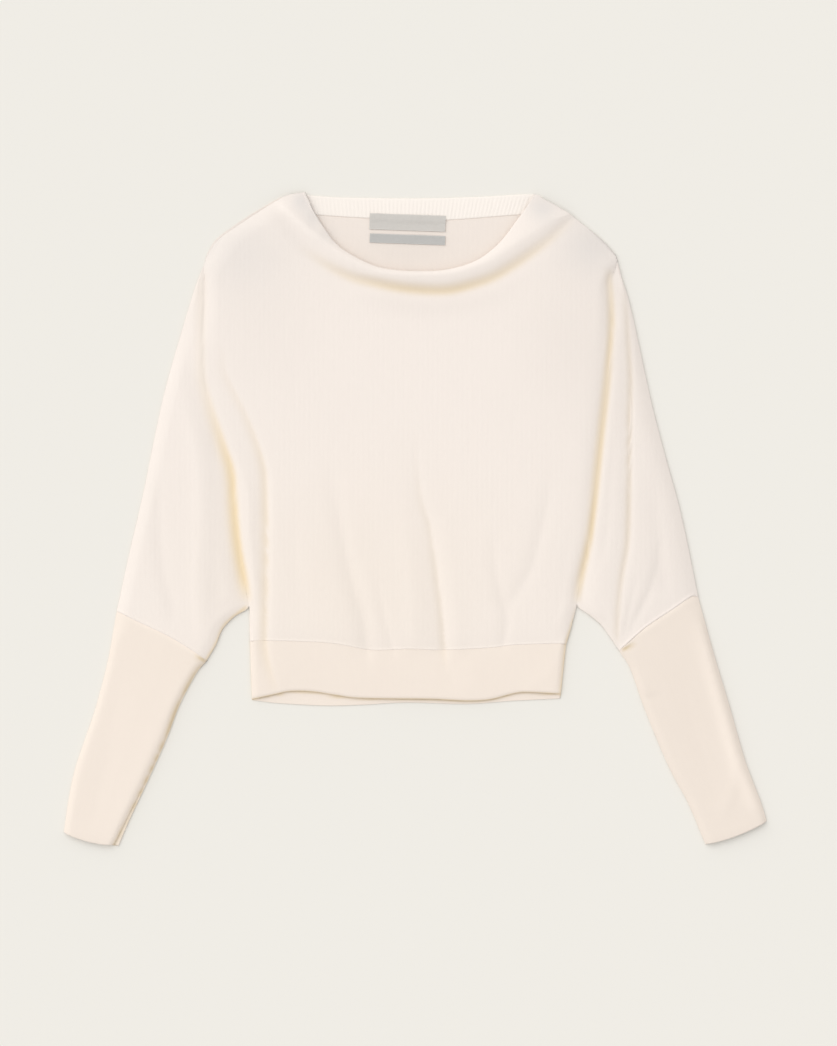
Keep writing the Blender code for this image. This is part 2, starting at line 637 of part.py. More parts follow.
def make_cuff(name, seam, outer, inner, mirrored, slip):
    """A long cuff: a flattened tube from its seam to its opening, its upper layer slipped back."""
    radius = CUFF_HEIGHT / 2
    columns = np.array(CUFF_COLUMNS)
    rows = []
    for share in np.linspace(0.0, 1.0, CUFF_STATIONS):
        start = along(outer, [share])[0]
        end = along(inner, [share])[0]
        if mirrored:
            start, end = end, start
        across = (end - start) / np.hypot(*(end - start))
        start = start + across * radius
        end = end - across * radius
        line = start + (end - start) * columns[:, None]
        seam_line = along(seam, columns if not mirrored else 1.0 - columns)
        straight = seam_line[0] + (seam_line[-1] - seam_line[0]) * columns[:, None]
        bend = (seam_line - straight) * max(0.0, 1.0 - share * SEAM_FADE) ** 2
        bow = CUFF_OPENING_BOW * share ** 4 * 4.0 * columns * (1.0 - columns)
        line = line + bend
        line[:, 1] += bow + SEAM_GAP * (1.0 - share)
        low = np.column_stack([line, np.zeros(len(line))])
        high = np.column_stack([line, np.full(len(line), CUFF_HEIGHT)])
        if slip:
            begun = min(1.0, share * LIP_FADE)
            slide = LIP_WIDTH * (LIP_AT_SEAM + (1.0 - LIP_AT_SEAM) * begun) + slip * share ** 3
            high[:, :2] -= across * (slide * columns ** 2)[:, None]
            lip = CUFF_HEIGHT - LIP_DROP * begun
            high = np.vstack([high, (*line[-1], lip)])
        rows.append(ring(low, high, radius))
    return thicken(add_object(name, sheet([tube_grid(rows)]), CUFF_CREAM))


def make_back_neck_rib():
    """The ribbed strip round the back of the neck, its ribs raised over a plain flat underside."""
    length = curve_length(NECK_SEAM)
    ribs = round(length / RIB_PITCH)
    shares = [(i + part) / ribs for i in range(ribs) for part, _ in RIB_PROFILE] + [1.0]
    lifts = [RIB_BASE + RIB_RAISE * raised for _ in range(ribs) for _, raised in RIB_PROFILE]
    lifts.append(RIB_BASE)
    lower = along(NECK_SEAM, shares)
    upper = along(NECK_TOP, shares)
    work = bmesh.new()
    loops = []
    for low, high, lift in zip(lower, upper, lifts):
        inset = (low - high) * RIB_BEVEL_SHARE
        loop = [(*high, 0.0), (*(high + inset), lift), (*(low - inset), lift), (*low, 0.0)]
        loops.append([work.verts.new(place(*point)) for point in loop])
    for first, second in zip(loops, loops[1:]):
        for i in range(4):
            j = (i + 1) % 4
            work.faces.new((first[i], first[j], second[j], second[i]))
    work.faces.new(loops[0][::-1])
    work.faces.new(loops[-1])
    bmesh.ops.recalc_face_normals(work, faces=work.faces)
    made = add_object("back_neck_rib", work, CREAM)
    made.data.set_sharp_from_angle(angle=math.radians(40))
    return made


def make_label(name, across, down, width, height, tilt, underside, underside_at_top):
    """A woven label with nothing on it, lying on the back and over the rib's seam."""
    angle = math.radians(tilt)
    side = np.array([math.cos(angle), -math.sin(angle)])
    fall = np.array([math.sin(angle), math.cos(angle)])
    rows = []
    for share in LABEL_ROWS:
        lift = np.interp(share, LABEL_BEND, (underside_at_top, underside))
        row = []
        for part in LABEL_COLUMNS:
            point = np.array([across, down]) + side * width * part + fall * height * share
            row.append((*point, lift + LABEL_THICK))
        rows.append(row)
    return thicken(add_object(name, sheet([np.array(rows)]), LABEL_GREY, 0.6), LABEL_THICK)


CREAM = (0.90, 0.83, 0.75)
INNER_CREAM = (0.87, 0.79, 0.70)
CUFF_CREAM = (0.88, 0.80, 0.71)
LABEL_GREY = (0.60, 0.58, 0.55)

for old in list(bpy.data.objects):
    bpy.data.objects.remove(old, do_unlink=True)
garment = bpy.data.collections.new("cropped_sweater")
bpy.context.scene.collection.children.link(garment)

make_back()
make_front()
make_hem_band()
make_cuff("cuff_left", CUFF_SEAM_LEFT, CUFF_OUTER_LEFT, CUFF_INNER_LEFT, False, CUFF_SLIP_LEFT)
make_cuff("cuff_right", CUFF_SEAM_RIGHT, CUFF_OUTER_RIGHT, CUFF_INNER_RIGHT, True, 0.0)
make_back_neck_rib()
for label in LABELS:
    make_label(*label)
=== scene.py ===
"""Looks of a cropped sweater in fine cream knit, laid flat on its back.

Places on the garment are in millimetres, (across, down, height): across from the left-most point
of the left cuff, down from the neck corner, height above the surface. place() turns them into
the frame's metres.
"""
import math

import bpy
import bmesh
import numpy as np
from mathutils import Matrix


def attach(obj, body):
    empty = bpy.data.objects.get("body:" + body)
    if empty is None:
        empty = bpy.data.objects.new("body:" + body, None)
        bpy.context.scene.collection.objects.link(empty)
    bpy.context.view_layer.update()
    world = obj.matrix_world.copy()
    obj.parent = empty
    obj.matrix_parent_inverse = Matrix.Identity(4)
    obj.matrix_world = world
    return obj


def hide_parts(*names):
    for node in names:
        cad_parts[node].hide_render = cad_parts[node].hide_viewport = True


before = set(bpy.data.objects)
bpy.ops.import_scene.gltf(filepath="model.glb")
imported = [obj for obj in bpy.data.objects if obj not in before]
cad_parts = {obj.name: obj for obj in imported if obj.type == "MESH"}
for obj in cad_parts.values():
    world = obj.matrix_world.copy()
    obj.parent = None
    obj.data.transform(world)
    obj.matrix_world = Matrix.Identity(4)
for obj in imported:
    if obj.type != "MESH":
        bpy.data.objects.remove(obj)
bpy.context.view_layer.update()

MM = 0.001
WIDTH = 702.5
LENGTH = 652.6
WALL = 1.0               # the knit's thickness
EDGE = 2.1               # height at which the front's edge meets the back's
BACK_EDGE = 0.4          # height to which the back's edge turns up
BACK_EDGE_WIDTH = 2.5
JOIN = 5.9               # where the body meets the sleeves
CHEST = 6.2              # over the body, the sleeves, the hem band and the cuffs
SLEEVE = 5.6
BAND = 5.2
CUFF = 5.6
BACK_PEEK = 2.4          # how far the back shows past the left shoulder
EDGE_ROUND = 14.0        # how wide the outline's edges are rounded
RIGHT_SLEEVE_ROUND = 24.0
SHOULDER_ROUND = 14.0
TUBE_EDGE = 2.4          # height of a tube at its two sides
TUBE_ROUND = 6.0
TUBE_TURN = 0.6
SEAM_BLEND = 0.15        # share of a cuff over which its sides change from the sleeve's form
NARROW = 40.0            # a sleeve narrower than this lies flatter
SEAM_TUCK = 0.15         # how far a seam's edge is turned down
SEAM_UNDER = 1.6         # how far the next piece reaches under it
MERGE = 2e-6             # points closer than this, in metres, are one
SEAM_ROUND = 4.0         # how soon the hem seam reaches its height beside its ends
SIDE_FALL = 3            # power by which the body comes down to the hem seam
ROUND_POWER = 1.8        # how squarely an edge is rounded
RELIEF_RISE = 2.0        # height over which the folds come in beside the outline
JOIN_ROUND = 14.0        # how far from a deep fold the body has its full height
SLEEVE_JOIN = 22.0       # how far from it a sleeve has
NARROW_SHARE = 0.35      # share of its height that the narrowest sleeve keeps
LOW_START = 0.25         # share of the deep folds along which the edge rises from the shoulder
LOW_END = 0.2            # and comes down to the underarm

# Rows of the body between the deep folds: how far their middle hangs at the shoulder and at
# the underarm, how fast that changes, and how squarely they turn
SAG_TOP = 77.0
SAG_BOTTOM = 9.0
SAG_POWER = 1.3
SAG_SQUARE = 2.15

# Outline, (across, down)
SHOULDER_LEFT = [(240, 0), (227, 1.5), (218, 5), (205, 13), (180, 29), (151, 50), (140.7, 71)]
SHOULDER_RIGHT = [(470.8, 1.8), (479.5, 6.6), (500, 17.7), (527.4, 38.5), (543, 52), (553, 67)]
SLEEVE_LEFT = [(140.7, 71), (132, 93), (117.6, 140), (99, 207), (79, 303), (68, 350), (53, 418)]
SLEEVE_RIGHT = [(553, 67), (557, 83), (567, 117), (586.6, 207), (601, 263), (617, 322), (634, 404)]
UNDERARM_LEFT = [(185.4, 413), (179, 417), (161, 432.5), (153.6, 449), (142.7, 467.5)]
UNDERARM_RIGHT = [(512.6, 411.4), (527, 423.5), (540, 435), (547.6, 446.5), (555.3, 458)]
SIDE_LEFT = [(185.4, 413), (185.6, 430), (186, 448)]
SIDE_RIGHT = [(512.6, 411.4), (507, 435), (502, 452)]
CUFF_SEAM_LEFT = [(53, 418), (77, 430), (102.5, 442), (128, 457), (142.7, 467.5)]
CUFF_SEAM_RIGHT = [(634, 404), (626.7, 404), (606, 418), (581, 435), (555.3, 458)]
HEM_SEAM = [(186, 448), (204, 447.6), (265, 450), (307, 457), (345, 456), (378, 457),
            (426, 454.6), (449, 452), (494, 450.4), (502, 452)]
FRONT_HEM = [(188, 506), (211, 501), (227, 498), (249, 498.5), (272, 502), (298, 505), (366, 505.8),
             (402, 507.5), (426, 506.2), (449, 500.5), (463, 499), (496.5, 500.6)]
BACK_HEM = [(188, 507), (213, 510), (260, 512.5), (298, 511.7), (343, 509.4), (402, 510.8),
            (449, 507.7), (496.5, 505.4)]
NECK_SEAM = [(231, 24), (249, 22), (281, 24), (330, 26.4), (384, 27), (456, 22), (479, 24)]
NECK_TOP = [(228, 8), (240, 2.4), (276, 4.5), (356, 5.5), (416, 4), (470, 1.6), (483, 11)]
CUFF_OUTER_LEFT = [(53, 418), (44, 468), (32.4, 513), (20.9, 547), (10.7, 578), (4.6, 608),
                   (0, 639.3)]
CUFF_INNER_LEFT = [(142.7, 467.5), (132, 481), (115.3, 513), (102.5, 546.5), (83.8, 588),
                   (66, 626), (54.6, 652.6)]
CUFF_OUTER_RIGHT = [(634, 404), (649.7, 460.5), (665, 511.5), (681, 567), (696.4, 608),
                    (702.5, 628)]
CUFF_INNER_RIGHT = [(555.3, 458), (566.8, 477), (580.8, 516.6), (604.6, 573.5), (624, 610),
                    (641.3, 651)]
OPENING_BOW = 3.0
FOLD_LEFT = [(140.7, 71), (140.7, 109), (140, 172), (148, 223), (157, 255), (168, 287),
             (170, 319), (175, 350), (179, 382), (185.4, 413)]
FOLD_RIGHT = [(553, 67), (547, 90), (547.3, 117), (541.7, 188), (535, 240), (530.8, 287),
              (528.4, 319), (523.7, 350), (514, 395), (512.6, 411.4)]
SLEEVE_FOLD_RIGHT = [(553, 67), (558.5, 92), (562, 117), (564.3, 150), (566.3, 186), (565.6, 227),
                     (564.9, 288), (564.5, 322), (563, 352), (558, 381), (554.5, 410), (559, 455)]

# The draped neck: its edge, the crest of its roll, the crease under it, and where it lies flat
NECK_EDGE = ((240, 0.0, 4.2), (247, 14, 4.4), (259, 34, 5.0), (271, 50, 5.6), (287, 62, 6.2),
             (311, 73.5, 6.6), (331, 77.5, 6.8), (351, 78.7, 6.8), (376, 78, 6.8), (396, 74, 6.6),
             (416, 66, 6.4), (436, 50, 6.0), (450, 32, 5.6), (462, 16, 5.4), (470.8, 1.8, 5.2))
NECK_CREST = ((208, 11.3, 7.0), (225, 22, 8.2), (239, 32, 8.8), (258, 51, 9.0), (281, 67, 9.3),
              (311, 79.5, 9.6), (331, 82.7, 9.8), (351, 83.7, 9.9), (376, 83.2, 9.9), (396, 80, 9.8),
              (426, 69, 9.5), (446, 56, 9.3), (466, 42, 9.0), (486, 28.5, 8.4), (504, 20.3, 7.2))
NECK_CREASE = ((176, 31.6, 6.4), (211, 52, 6.9), (243, 67, 6.7), (271, 79.5, 6.2), (311, 91, 5.6),
               (331, 95.5, 5.6), (351, 98, 5.6), (376, 99, 5.6), (396, 96.5, 5.6), (426, 87, 5.5),
               (446, 76, 5.4), (466, 62.5, 5.5), (486, 47, 5.6), (502, 32, 5.6), (511, 25.2, 5.4))
NECK_FOOT = ((160, 43.6, 5.8), (205, 75, 6.2), (243, 88, 6.3), (271, 97, 6.3), (311, 106, 6.3),
             (351, 116, 6.2), (396, 114, 6.2), (426, 106, 6.2), (446, 96, 6.1), (466, 83, 6.1),
             (492, 61, 6.0), (522, 34.3, 5.6))
NECK_CURVES = (
    # heights at the two shoulders, then the curve
    (4.2, 5.0, NECK_EDGE),
    (4.4, 4.6, NECK_CREST),
    (3.0, 3.2, NECK_CREASE),
    (2.4, 2.4, NECK_FOOT),
)
NECK_BETWEEN = (
    # from which curve to the next, how far between them, share of the height's change
    (0, 0.0, 0.0),
    (0, 0.22, 0.45),
    (0, 0.55, 0.85),
    (1, 0.0, 0.0),
    (1, 0.3, 0.18),
    (1, 0.52, 0.44),
    (1, 0.74, 0.78),
    (2, 0.0, 0.0),
    (2, 0.22, 0.12),
    (2, 0.55, 0.65),
    (3, 0.0, 0.0),
    (3, 0.35, 0.4),
    (3, 0.7, 0.75),
)
# The neck's edge turned inside the front
FACING = (
    # inward, height
    (11.0, 2.5),
    (6.0, 2.5),
    (2.0, 2.8),
    (0.3, 4.2),
)
FACING_AT_CORNER = 0.5   # share of its width at the neck's two corners
FACING_POWER = 0.6

PAINTED_SHADE_ONLY = -0.01        # a fold too low to see, which only carries painted shade


def traced(points):
    """An outline as the line of a fold that only paints shade on the cloth."""
    return tuple((*point, PAINTED_SHADE_ONLY if i else 0.0) for i, point in enumerate(points))


# Folds: the line that each runs along, with its height at each point, and how wide it is on each
# side. Left is the picture's left of a line that goes down, and below one that goes across.
FOLDS = (
    # name, width on the left, on the right, line of (across, down, height)
    ("deep_left", 10, 5,
     ((140.4, 74, 0), (139.4, 92, -0.3), (138.8, 110, -0.35), (138.5, 145, -0.35), (139.5, 183, -0.5),
      (146.5, 212, -0.9), (153, 232, -1.4), (161, 256, -2.1), (168.3, 280, -2.7), (171.5, 322, -2.9),
      (175, 354, -2.9), (180.5, 385, -2.7), (183.8, 402, -1.2), (185, 410, 0))),
    ("left_line", 2.6, 2,
     ((140.4, 80, 0), (139.5, 100, -0.15), (138.8, 145, -0.15), (140, 185, -0.12), (144, 203, 0))),
    ("deep_right", 9, 4,
     ((546, 74, 0), (545.6, 86, -1.2), (547, 105, -1.7), (547.6, 135, -2.4), (543.6, 186, -3),
      (537.8, 237, -3.3), (532.4, 288, -3.3), (526.6, 340, -3.2), (518.8, 378, -2.8), (514.6, 401, -1.6),
      (513, 411, 0))),
    ("sleeve_fold", 9, 3.6,
     ((558.5, 92, 0), (562, 117, -1), (564.3, 150, -1.6), (566.3, 186, -2), (565.6, 227, -2.1),
      (564.9, 288, -2.2), (564.5, 322, -2.3), (563, 352, -2.1), (558, 381, -1.8), (555, 404, -1.5),
      (552.6, 437, -1.3), (554.6, 453, 0))),
    ("side_left", 10, 4,
     ((159, 150, 0), (161, 178, -0.5), (168, 194, -0.8), (183, 224, -1.2), (194.8, 255, -1.7),
      (201.5, 283, -2.2), (202.6, 330, -2.4), (202.6, 390, -2.3), (201.5, 430, -2.1), (201.5, 452, -1.9),
      (205, 472, -1.3), (211, 492, -0.5), (215, 505, 0))),
    ("ridge_left", 6, 6,
     ((146, 190, 0), (165, 240, 0.3), (184, 297, 0.7), (187, 345, 0.8), (191, 400, 0.7), (193, 440, 0))),
    ("hem_a", 11, 5.5,
     ((263, 255, 0), (270, 300, -0.6), (277, 333, -1.1), (287, 385, -1.5), (298, 421, -1.8),
      (303, 454, -1.9), (305, 470, -0.5), (306, 482, 0))),
    ("ridge_a", 9, 9,
     ((280, 280, 0), (296, 360, 0.5), (314, 425, 0.6), (318, 455, 0))),
    ("hem_b", 7, 4,
     ((313, 380, 0), (321, 425, -0.8), (329, 454, -0.8), (331, 468, 0))),
    ("hem_c", 13, 4.8,
     ((352, 235, 0), (354, 280, -0.7), (358, 310, -1.3), (366, 336, -1.8), (372, 380, -2.3),
      (377, 418, -2.6), (380, 455, -2.5), (381, 468, -0.9), (382, 482, 0))),
    ("ridge_c", 10, 10,
     ((336, 300, 0), (346, 370, 0.7), (350, 440, 0.8), (352, 462, 0))),
    ("ridge_c_right", 7, 12,
     ((374, 300, 0), (386, 370, 0.6), (394, 440, 0.7), (396, 466, 0))),
    ("hem_d", 8, 4.5,
     ((428, 335, 0), (431, 370, -0.8), (437, 405, -1.2), (443, 424, -1.3), (440, 447, -1), (438, 460, 0))),
    ("hem_e", 10, 5.5,
     ((488, 270, 0), (483, 310, -0.7), (476, 343, -1), (466, 378, -1), (449, 405, -0.8), (440, 420, 0))),
    ("hem_f", 12, 10,
     ((508, 320, 0), (503, 370, -0.7), (497, 410, -0.8), (492, 440, -0.4), (490, 456, 0))),
    ("chest_left", 12, 9,
     ((228, 305, 0), (231, 350, -0.5), (235, 405, -0.5), (238, 440, 0))),
    ("under_roll", 9, 9,
     ((290, 104, 0), (330, 112, -0.2), (365, 116, -0.25), (400, 112, -0.2), (440, 101, -0.15),
      (480, 72, 0))),
    ("roll_crease", 3.5, 6,
     ((232, 53, 0), (243, 60, -0.05), (256, 68.5, -0.14), (272, 78, -0.24), (290, 86, -0.34),
      (311, 91, -0.45), (331, 95, -0.55), (351, 97.5, -0.6), (376, 98.5, -0.6), (396, 96, -0.6),
      (426, 86.5, -0.5), (446, 75.5, -0.42), (466, 62, -0.33), (486, 47, -0.2), (502, 32, -0.08),
      (511, 25, 0))),
    ("neck_ridge", 3.2, 3.6,
     ((212, 7, 0), (217, 12.5, 0.9), (225, 20.5, 1.1), (237, 32, 1.1), (250, 43, 0.9), (265, 54, 0.6),
      (285, 67, 0.25), (305, 76, 0))),
    ("neck_side", 7, 4,
     ((206, 14, 0), (211, 21, -0.4), (220, 32, -0.5), (231, 45, -0.5), (243, 57, -0.3), (256, 66, 0))),
    ("sleeve_a", 7, 20,
     ((110, 165, 0), (119, 205, 0.5), (128, 235, 0.8), (134, 265, 1), (136, 300, 1.1), (135.5, 345, 1.1),
      (133.5, 385, 1.1), (135, 415, 1), (138, 438, 0.8), (140, 452, 0))),
    ("sleeve_a_shade", 10, 12,
     ((121, 170, 0), (131, 205, -0.2), (141, 240, -0.3), (148, 275, -0.3), (150, 320, -0.3),
      (149, 370, -0.3), (148, 410, -0.3), (147, 440, 0))),
    ("sleeve_b", 9, 4.5,
     ((92, 275, 0), (94.5, 306, -0.6), (96, 348, -0.8), (99.5, 382, -0.8), (108, 415, -0.7),
      (111, 434, 0))),
    ("sleeve_short", 5, 3.5,
     ((146, 232, 0), (151, 255, -0.6), (158, 280, 0))),
    ("underarm_left", 1, 1, traced(UNDERARM_LEFT)),
    ("side_right", 1, 1, traced(SIDE_RIGHT + [(499, 480), (496.5, 501)])),
    ("outer_right", 2, 2,
     ((557, 83, 0), (567, 117, -0.01), (586.6, 207, -0.01), (601, 263, -0.01), (617, 322, -0.01),
      (634, 404, -0.005))),
    ("sleeve_c", 12, 5.5,
     ((589, 270, 0), (591.5, 310, -0.6), (596, 366, -1), (598.5, 388, -0.9), (600, 404, 0))),
    ("fan_a", 5.5, 4,
     ((597, 340, 0), (594, 368, -0.7), (586, 395, -1.1), (577, 415, -1.2), (566, 436, -1), (559, 452, 0))),
    ("fan_b", 4, 3,
     ((573, 380, 0), (568, 405, -0.7), (562, 430, -0.9), (557.5, 450, 0))),
    ("lobe", 6, 4,
     ((525, 380, 0), (532, 400, -0.5), (541, 420, -0.6), (547, 436, 0))),
    ("lobe_upper", 5, 4,
     ((549, 240, 0), (547, 290, -0.4), (541, 350, -0.5), (536, 385, 0))),
)
CUFF_FOLDS = (
    # name, width on the left, on the right, line of (across, down, height)
    ("left_long", 14, 12,
     ((60, 470, 0), (52, 520, -0.5), (42, 575, -0.8), (32, 620, -0.7), (30, 642, 0))),
    ("left_crest", 8, 5,
     ((118, 490, 0), (98, 530, 0.5), (80, 575, 0.6), (58, 625, 0.4), (50, 645, 0))),
    ("seam_left", 2.5, 2.5,
     ((55, 419, 0), (77, 430, 0.3), (102.5, 442, 0.3), (128, 457, 0.3), (138, 464, 0))),
    ("seam_right", 2.5, 2.5,
     ((631, 404, 0), (626, 406, 0.3), (606, 419.5, 0.4), (581, 436.5, 0.4), (566, 449, 0))),
    ("left_rim", 2, 2,
     ((141.5, 467.5, 0), (130.5, 480.5, -0.3), (113.8, 512.5, -0.4), (101, 546, -0.4),
      (82.3, 587.5, -0.4), (64, 625.5, -0.4), (51, 651.5, -0.4))),
    ("left_notch", 1.6, 1.2,
     ((131, 462.5, 0), (135, 464.4, -0.9), (139.5, 466.8, -1.2), (142.5, 470, 0))),
    ("right_edge", 9, 4,
     ((631, 425, 0), (639, 455, 0.5), (655, 511, 0.8), (671, 566, 0.9), (686, 607, 0.5), (691, 622, 0))),
    ("right_crest", 7, 4.5,
     ((640, 450, 0), (649, 490, 0.7), (660, 530, 0.9), (671, 572, 0.9), (668, 600, 0.8), (652, 634, 0))),
    ("right_hollow", 14, 12,
     ((605, 440, 0), (618, 490, -0.5), (632, 540, -0.7), (648, 590, -0.5), (655, 615, 0))),
    ("right_notch", 1.6, 1.2,
     ((556.5, 456.5, 0), (560, 455.6, -1.1), (565, 452.8, -0.9), (571, 449, 0))),
    ("right_pleat", 4, 2.5,
     ((574, 498, 0), (584, 503, -0.6), (594, 500, -0.3), (600, 495, 0))),
)
BAND_FOLDS = (
    # name, width on the left, on the right, line of (across, down, height)
    ("band_bright", 10, 12,
     ((404, 462, 0), (408, 474, 0.5), (410, 492, 0.4), (410, 503, 0))),
    ("band_dark", 12, 8,
     ((380, 460, 0), (386, 474, -0.5), (388, 490, -0.3), (388, 500, 0))),
    ("band_corner", 9, 6,
     ((496, 462, 0), (486, 480, 0.4), (468, 494, 0.4), (460, 500, 0))),
)
# Shade painted into the cloth's colour along some folds, and painted highlights
FOLD_PAINTED_SHADES = {
    # name: how much warm shade is painted, how wide on the left, on the right, how much painted shade
    # darkens (a painted highlight below 0)
    "deep_left": (1, 7.5, 3.8, 0),
    "left_line": (0.1, 2.2, 1.8, 0.3),
    "deep_right": (0.9, 4.8, 3.4, 0.3),
    "sleeve_fold": (0.3, 4, 2.6, 0.4),
    "side_left": (0.35, 6, 2.4, 0.15),
    "hem_a": (0, 11, 5.5, 0.15),
    "hem_c": (0.15, 5, 2, 0.3),
    "hem_d": (0, 8, 4.5, 0.1),
    "hem_e": (0, 10, 5.5, 0.1),
    "under_roll": (0, 11, 11, 0.14),
    "roll_crease": (0.75, 4.6, 6, 0.3),
    "neck_ridge": (0, 3.2, 3.6, -0.2),
    "neck_side": (0, 8, 5, 0.14),
    "sleeve_a_shade": (0, 9, 12, 0.16),
    "sleeve_b": (0, 9, 4.5, 0.12),
    "underarm_left": (0.8, 2.4, 2.4, 0.1),
    "side_right": (0.7, 2.2, 2.2, 0.1),
    "outer_right": (0, 10, 10, 0.2),
    "sleeve_c": (0, 12, 5.5, 0.12),
    "fan_a": (0, 5.5, 4, 0.12),
    "seam_left": (0, 2.6, 2.6, -0.25),
    "seam_right": (0, 2.8, 2.8, -0.3),
    "left_rim": (0.9, 2, 2, 0.35),
    "left_notch": (1, 2, 1.6, 0.5),
    "right_edge": (0, 8, 5, -0.32),
    "right_notch": (1, 2, 1.6, 0.6),
    "right_pleat": (0, 4, 2.5, 0.1),
}
NO_PAINTED_SHADE = (0.0, 1.0, 1.0, 0.0)
# how much the painted shading darkens the cloth at full strength; below 0 it is a painted highlight
DARKENING = 0.25
FOLD_DENSE = 10          # points between two of a fold's own
FOLD_REACH = 3.0         # how many times its width a fold reaches
FOLD_POWER = 1.5
TINT_POWER = 2.2
HEM_LIFTS = (
    # across, width, lift
    (200, 16, 0.6),
    (362, 62, 0.7),
    (486, 20, 0.6),
)
# Painted cool grey shade, on the shoulders and on the turned facets beside the neck's corners
COOL_SHADE_PATCHES = (
    # across, down, wide, tall, strength
    (176, 58, 46, 40, 0.55),
    (237, 9, 9, 11, 1.0),
    (248, 25, 8, 11, 0.8),
    (263, 43, 10, 9, 0.5),
    (528, 52, 34, 30, 0.85),
    (478, 16, 15, 13, 1.0),
)
# Painted shade, where the cloth is painted a little darker
PAINTED_SHADE_PATCHES = (
    (650, 440, 130, 300, 0.2),
    (560, 150, 60, 120, 0.12),
    (200, 120, 60, 90, 0.1),
    (500, 135, 50, 90, 0.12),
    (345, 56, 45, 20, 0.2),
)
# Painted warm shade, in broad patches over the cloth
WARM_SHADE_PATCHES = (
    (300, 400, 170, 120, 0.12),
)
# Painted warm shade on the inside of the back, next to the roll
INSIDE_SHADE_WARMTH = 0.03
INSIDE_REACH = 30.0

# Counts of rows and columns, and distances between those close to an edge
BODY_COLUMNS = 23
FOLD_ROWS = 17
UNDERARM_ROWS = 4
SIDE_ROWS = 3
BESIDE = np.array([0.0, 0.3, 0.9, 1.8, 3.0, 5.0, 8.0, 13.0, 20.0])
BESIDE_COUNTS = [1, 1, 1, 1, 2, 3, 4, 4]
MIDDLE_COUNT = 8
NECK_COUNT = 3
FOLD_COUNT = 4
SIDE_COUNT = 5
SLEEVE_COUNT = 5
SLEEVE_MIDDLE = 8
LOBE_MIDDLE = 2
STRIP_MIDDLE = 6
LEFT_SLEEVE_COUNTS = [1, 1, 1, 2, 3, 4] + [5] * (SLEEVE_MIDDLE + 1) + [4, 3, 2, 2]
RIGHT_SLEEVE_COUNTS = [2, 2, 3, 4] + [4] * (LOBE_MIDDLE + 1) + [4, 3, 2, 2, 3, 4] + [5] * (STRIP_MIDDLE + 1)
RIGHT_SLEEVE_COUNTS += [4, 3, 2, 1, 1, 1]
EDGE_CROWD = 2.2         # close columns take at most one part in so many of a width
OUTER_STEPS = (0.0, 0.25, 0.8, 1.8, 3.6, 7.0, 12.0)
FOLD_STEPS = (0.0, 1.5, 3.5, 6.5, 11.0)
STRIP_STEPS = (0.0, 1.2, 3.0, 7.0)
SEAM_ROWS = (4.0, 3.2, 2.5, 1.9, 1.3, 0.8, 0.35)
SEAM_ROW_LIMIT = 0.9     # share of the space that these rows take at most
SEAM_RIDGES = (
    # height, width, pucker; rows for the body, the left sleeve and the right sleeve
    (0.35, 1.0, 0.7),
    (0.75, 1.5, 0.0),
    (0.75, 1.5, 0.0),
)
RIDGE_FALL = 1.3         # how steep a seam's ridge is
PUCKER_WAVES = (1.7, 0.43)

# The back: points of its neck's edge beyond the rib's seam, the middle of its row from shoulder
# to shoulder, where its two shoulders start, and its counts
BACK_NECK_LEFT = [(226, 2.6), (228.4, 14), (232, 23.0)]
BACK_NECK_RIGHT = [(478.4, 23.0), (482.5, 14), (481, 7.6)]
BACK_MIDDLE = (346, 100)
PEEK_SIDEWAYS = np.array([-0.6, -0.8])   # the way in which the back shows past the left shoulder
PEEK_END = 1.05          # it ends a little before the shoulder does
PEEK_POWER = 0.7
BACK_STARTS = (14.0, 12.0)
BACK_COLUMNS = 60
BACK_NECK_ROWS = 9
BACK_SLEEVE_COLUMNS = 16
BACK_EDGE_COLUMNS = np.array([0.3, 0.8, 1.5, 2.5, 4.0])
EDGE_COLUMNS_SHARE = 0.2
SHOULDER_END = 4         # one part in so many of a row bends to the shoulder

# The tubes: places along and across them
TUBE_TURN_STEPS = 8
HEM_PLACES = np.concatenate([[0.0, 0.0, 0.01, 0.03, 0.06], np.linspace(0.1, 0.9, 14),
                             [0.94, 0.97, 0.985, 0.995, 1.0]])
HEM_COLUMNS = ((0.0, 0.002, 0.005, 0.01), 190)
CUFF_PLACES = ((0.0, 0.004, 0.01, 0.02), 60)
CUFF_COLUMNS = ((0.0, 0.01, 0.03, 0.06), 26)
HEM_FALL = 1.2           # how far the band's front comes down towards its edge
HEM_TURN = (0.96, 1.0)   # place where its edge starts to turn down, and how far it does
CUFF_TURN = (0.98, 0.4)
CUFF_SEAM_REACH = 0.5    # share of a cuff that bends to its seam
CUFFS = (
    # name, seam, outer edge, inner edge, mirrored, how far its upper layer has slipped back
    ("cuff_left", CUFF_SEAM_LEFT, CUFF_OUTER_LEFT, CUFF_INNER_LEFT, False, 3.2),
    ("cuff_right", CUFF_SEAM_RIGHT, CUFF_OUTER_RIGHT, CUFF_INNER_RIGHT, True, 0.0),
)
SLIP_START = 0.8         # a slipped layer's least slip
SLIP_REACH = 0.2         # share of the cuff over which that begins
SLIP_POWER = 6
LIP_DROP = 0.5           # how far its edge turns down
LIP_BEHIND = 0.3

# Shade in the hem's opening: how far it goes below the front's edge and above it
GAP_REACH = 1.3
GAP_RISE = 1.2
GAP_EDGE = 0.8
GAP_DARK = 0.2

# The back neck's ribs: pitch, height between them, how far they are raised, points to a rib
RIB_PITCH = 3.8
RIB_BASE = 1.7
RIB_RAISE = 0.2
RIB_STEPS = 8
RIB_PROFILE = (
    # place across the strip, height, share of the ribs
    (0.0, 0.0, 0.0),
    (0.0, 0.55, 0.0),
    (0.025, 0.9, 0.1),
    (0.07, 1.0, 0.35),
    (0.14, 1.0, 0.8),
    (0.3, 1.0, 1.0),
    (0.6, 1.0, 1.0),
    (0.88, 1.0, 1.0),
    (0.95, 1.0, 0.7),
    (0.985, 0.95, 0.3),
    (1.0, 0.8, 0.0),
    (1.0, 0.0, 0.0),
)
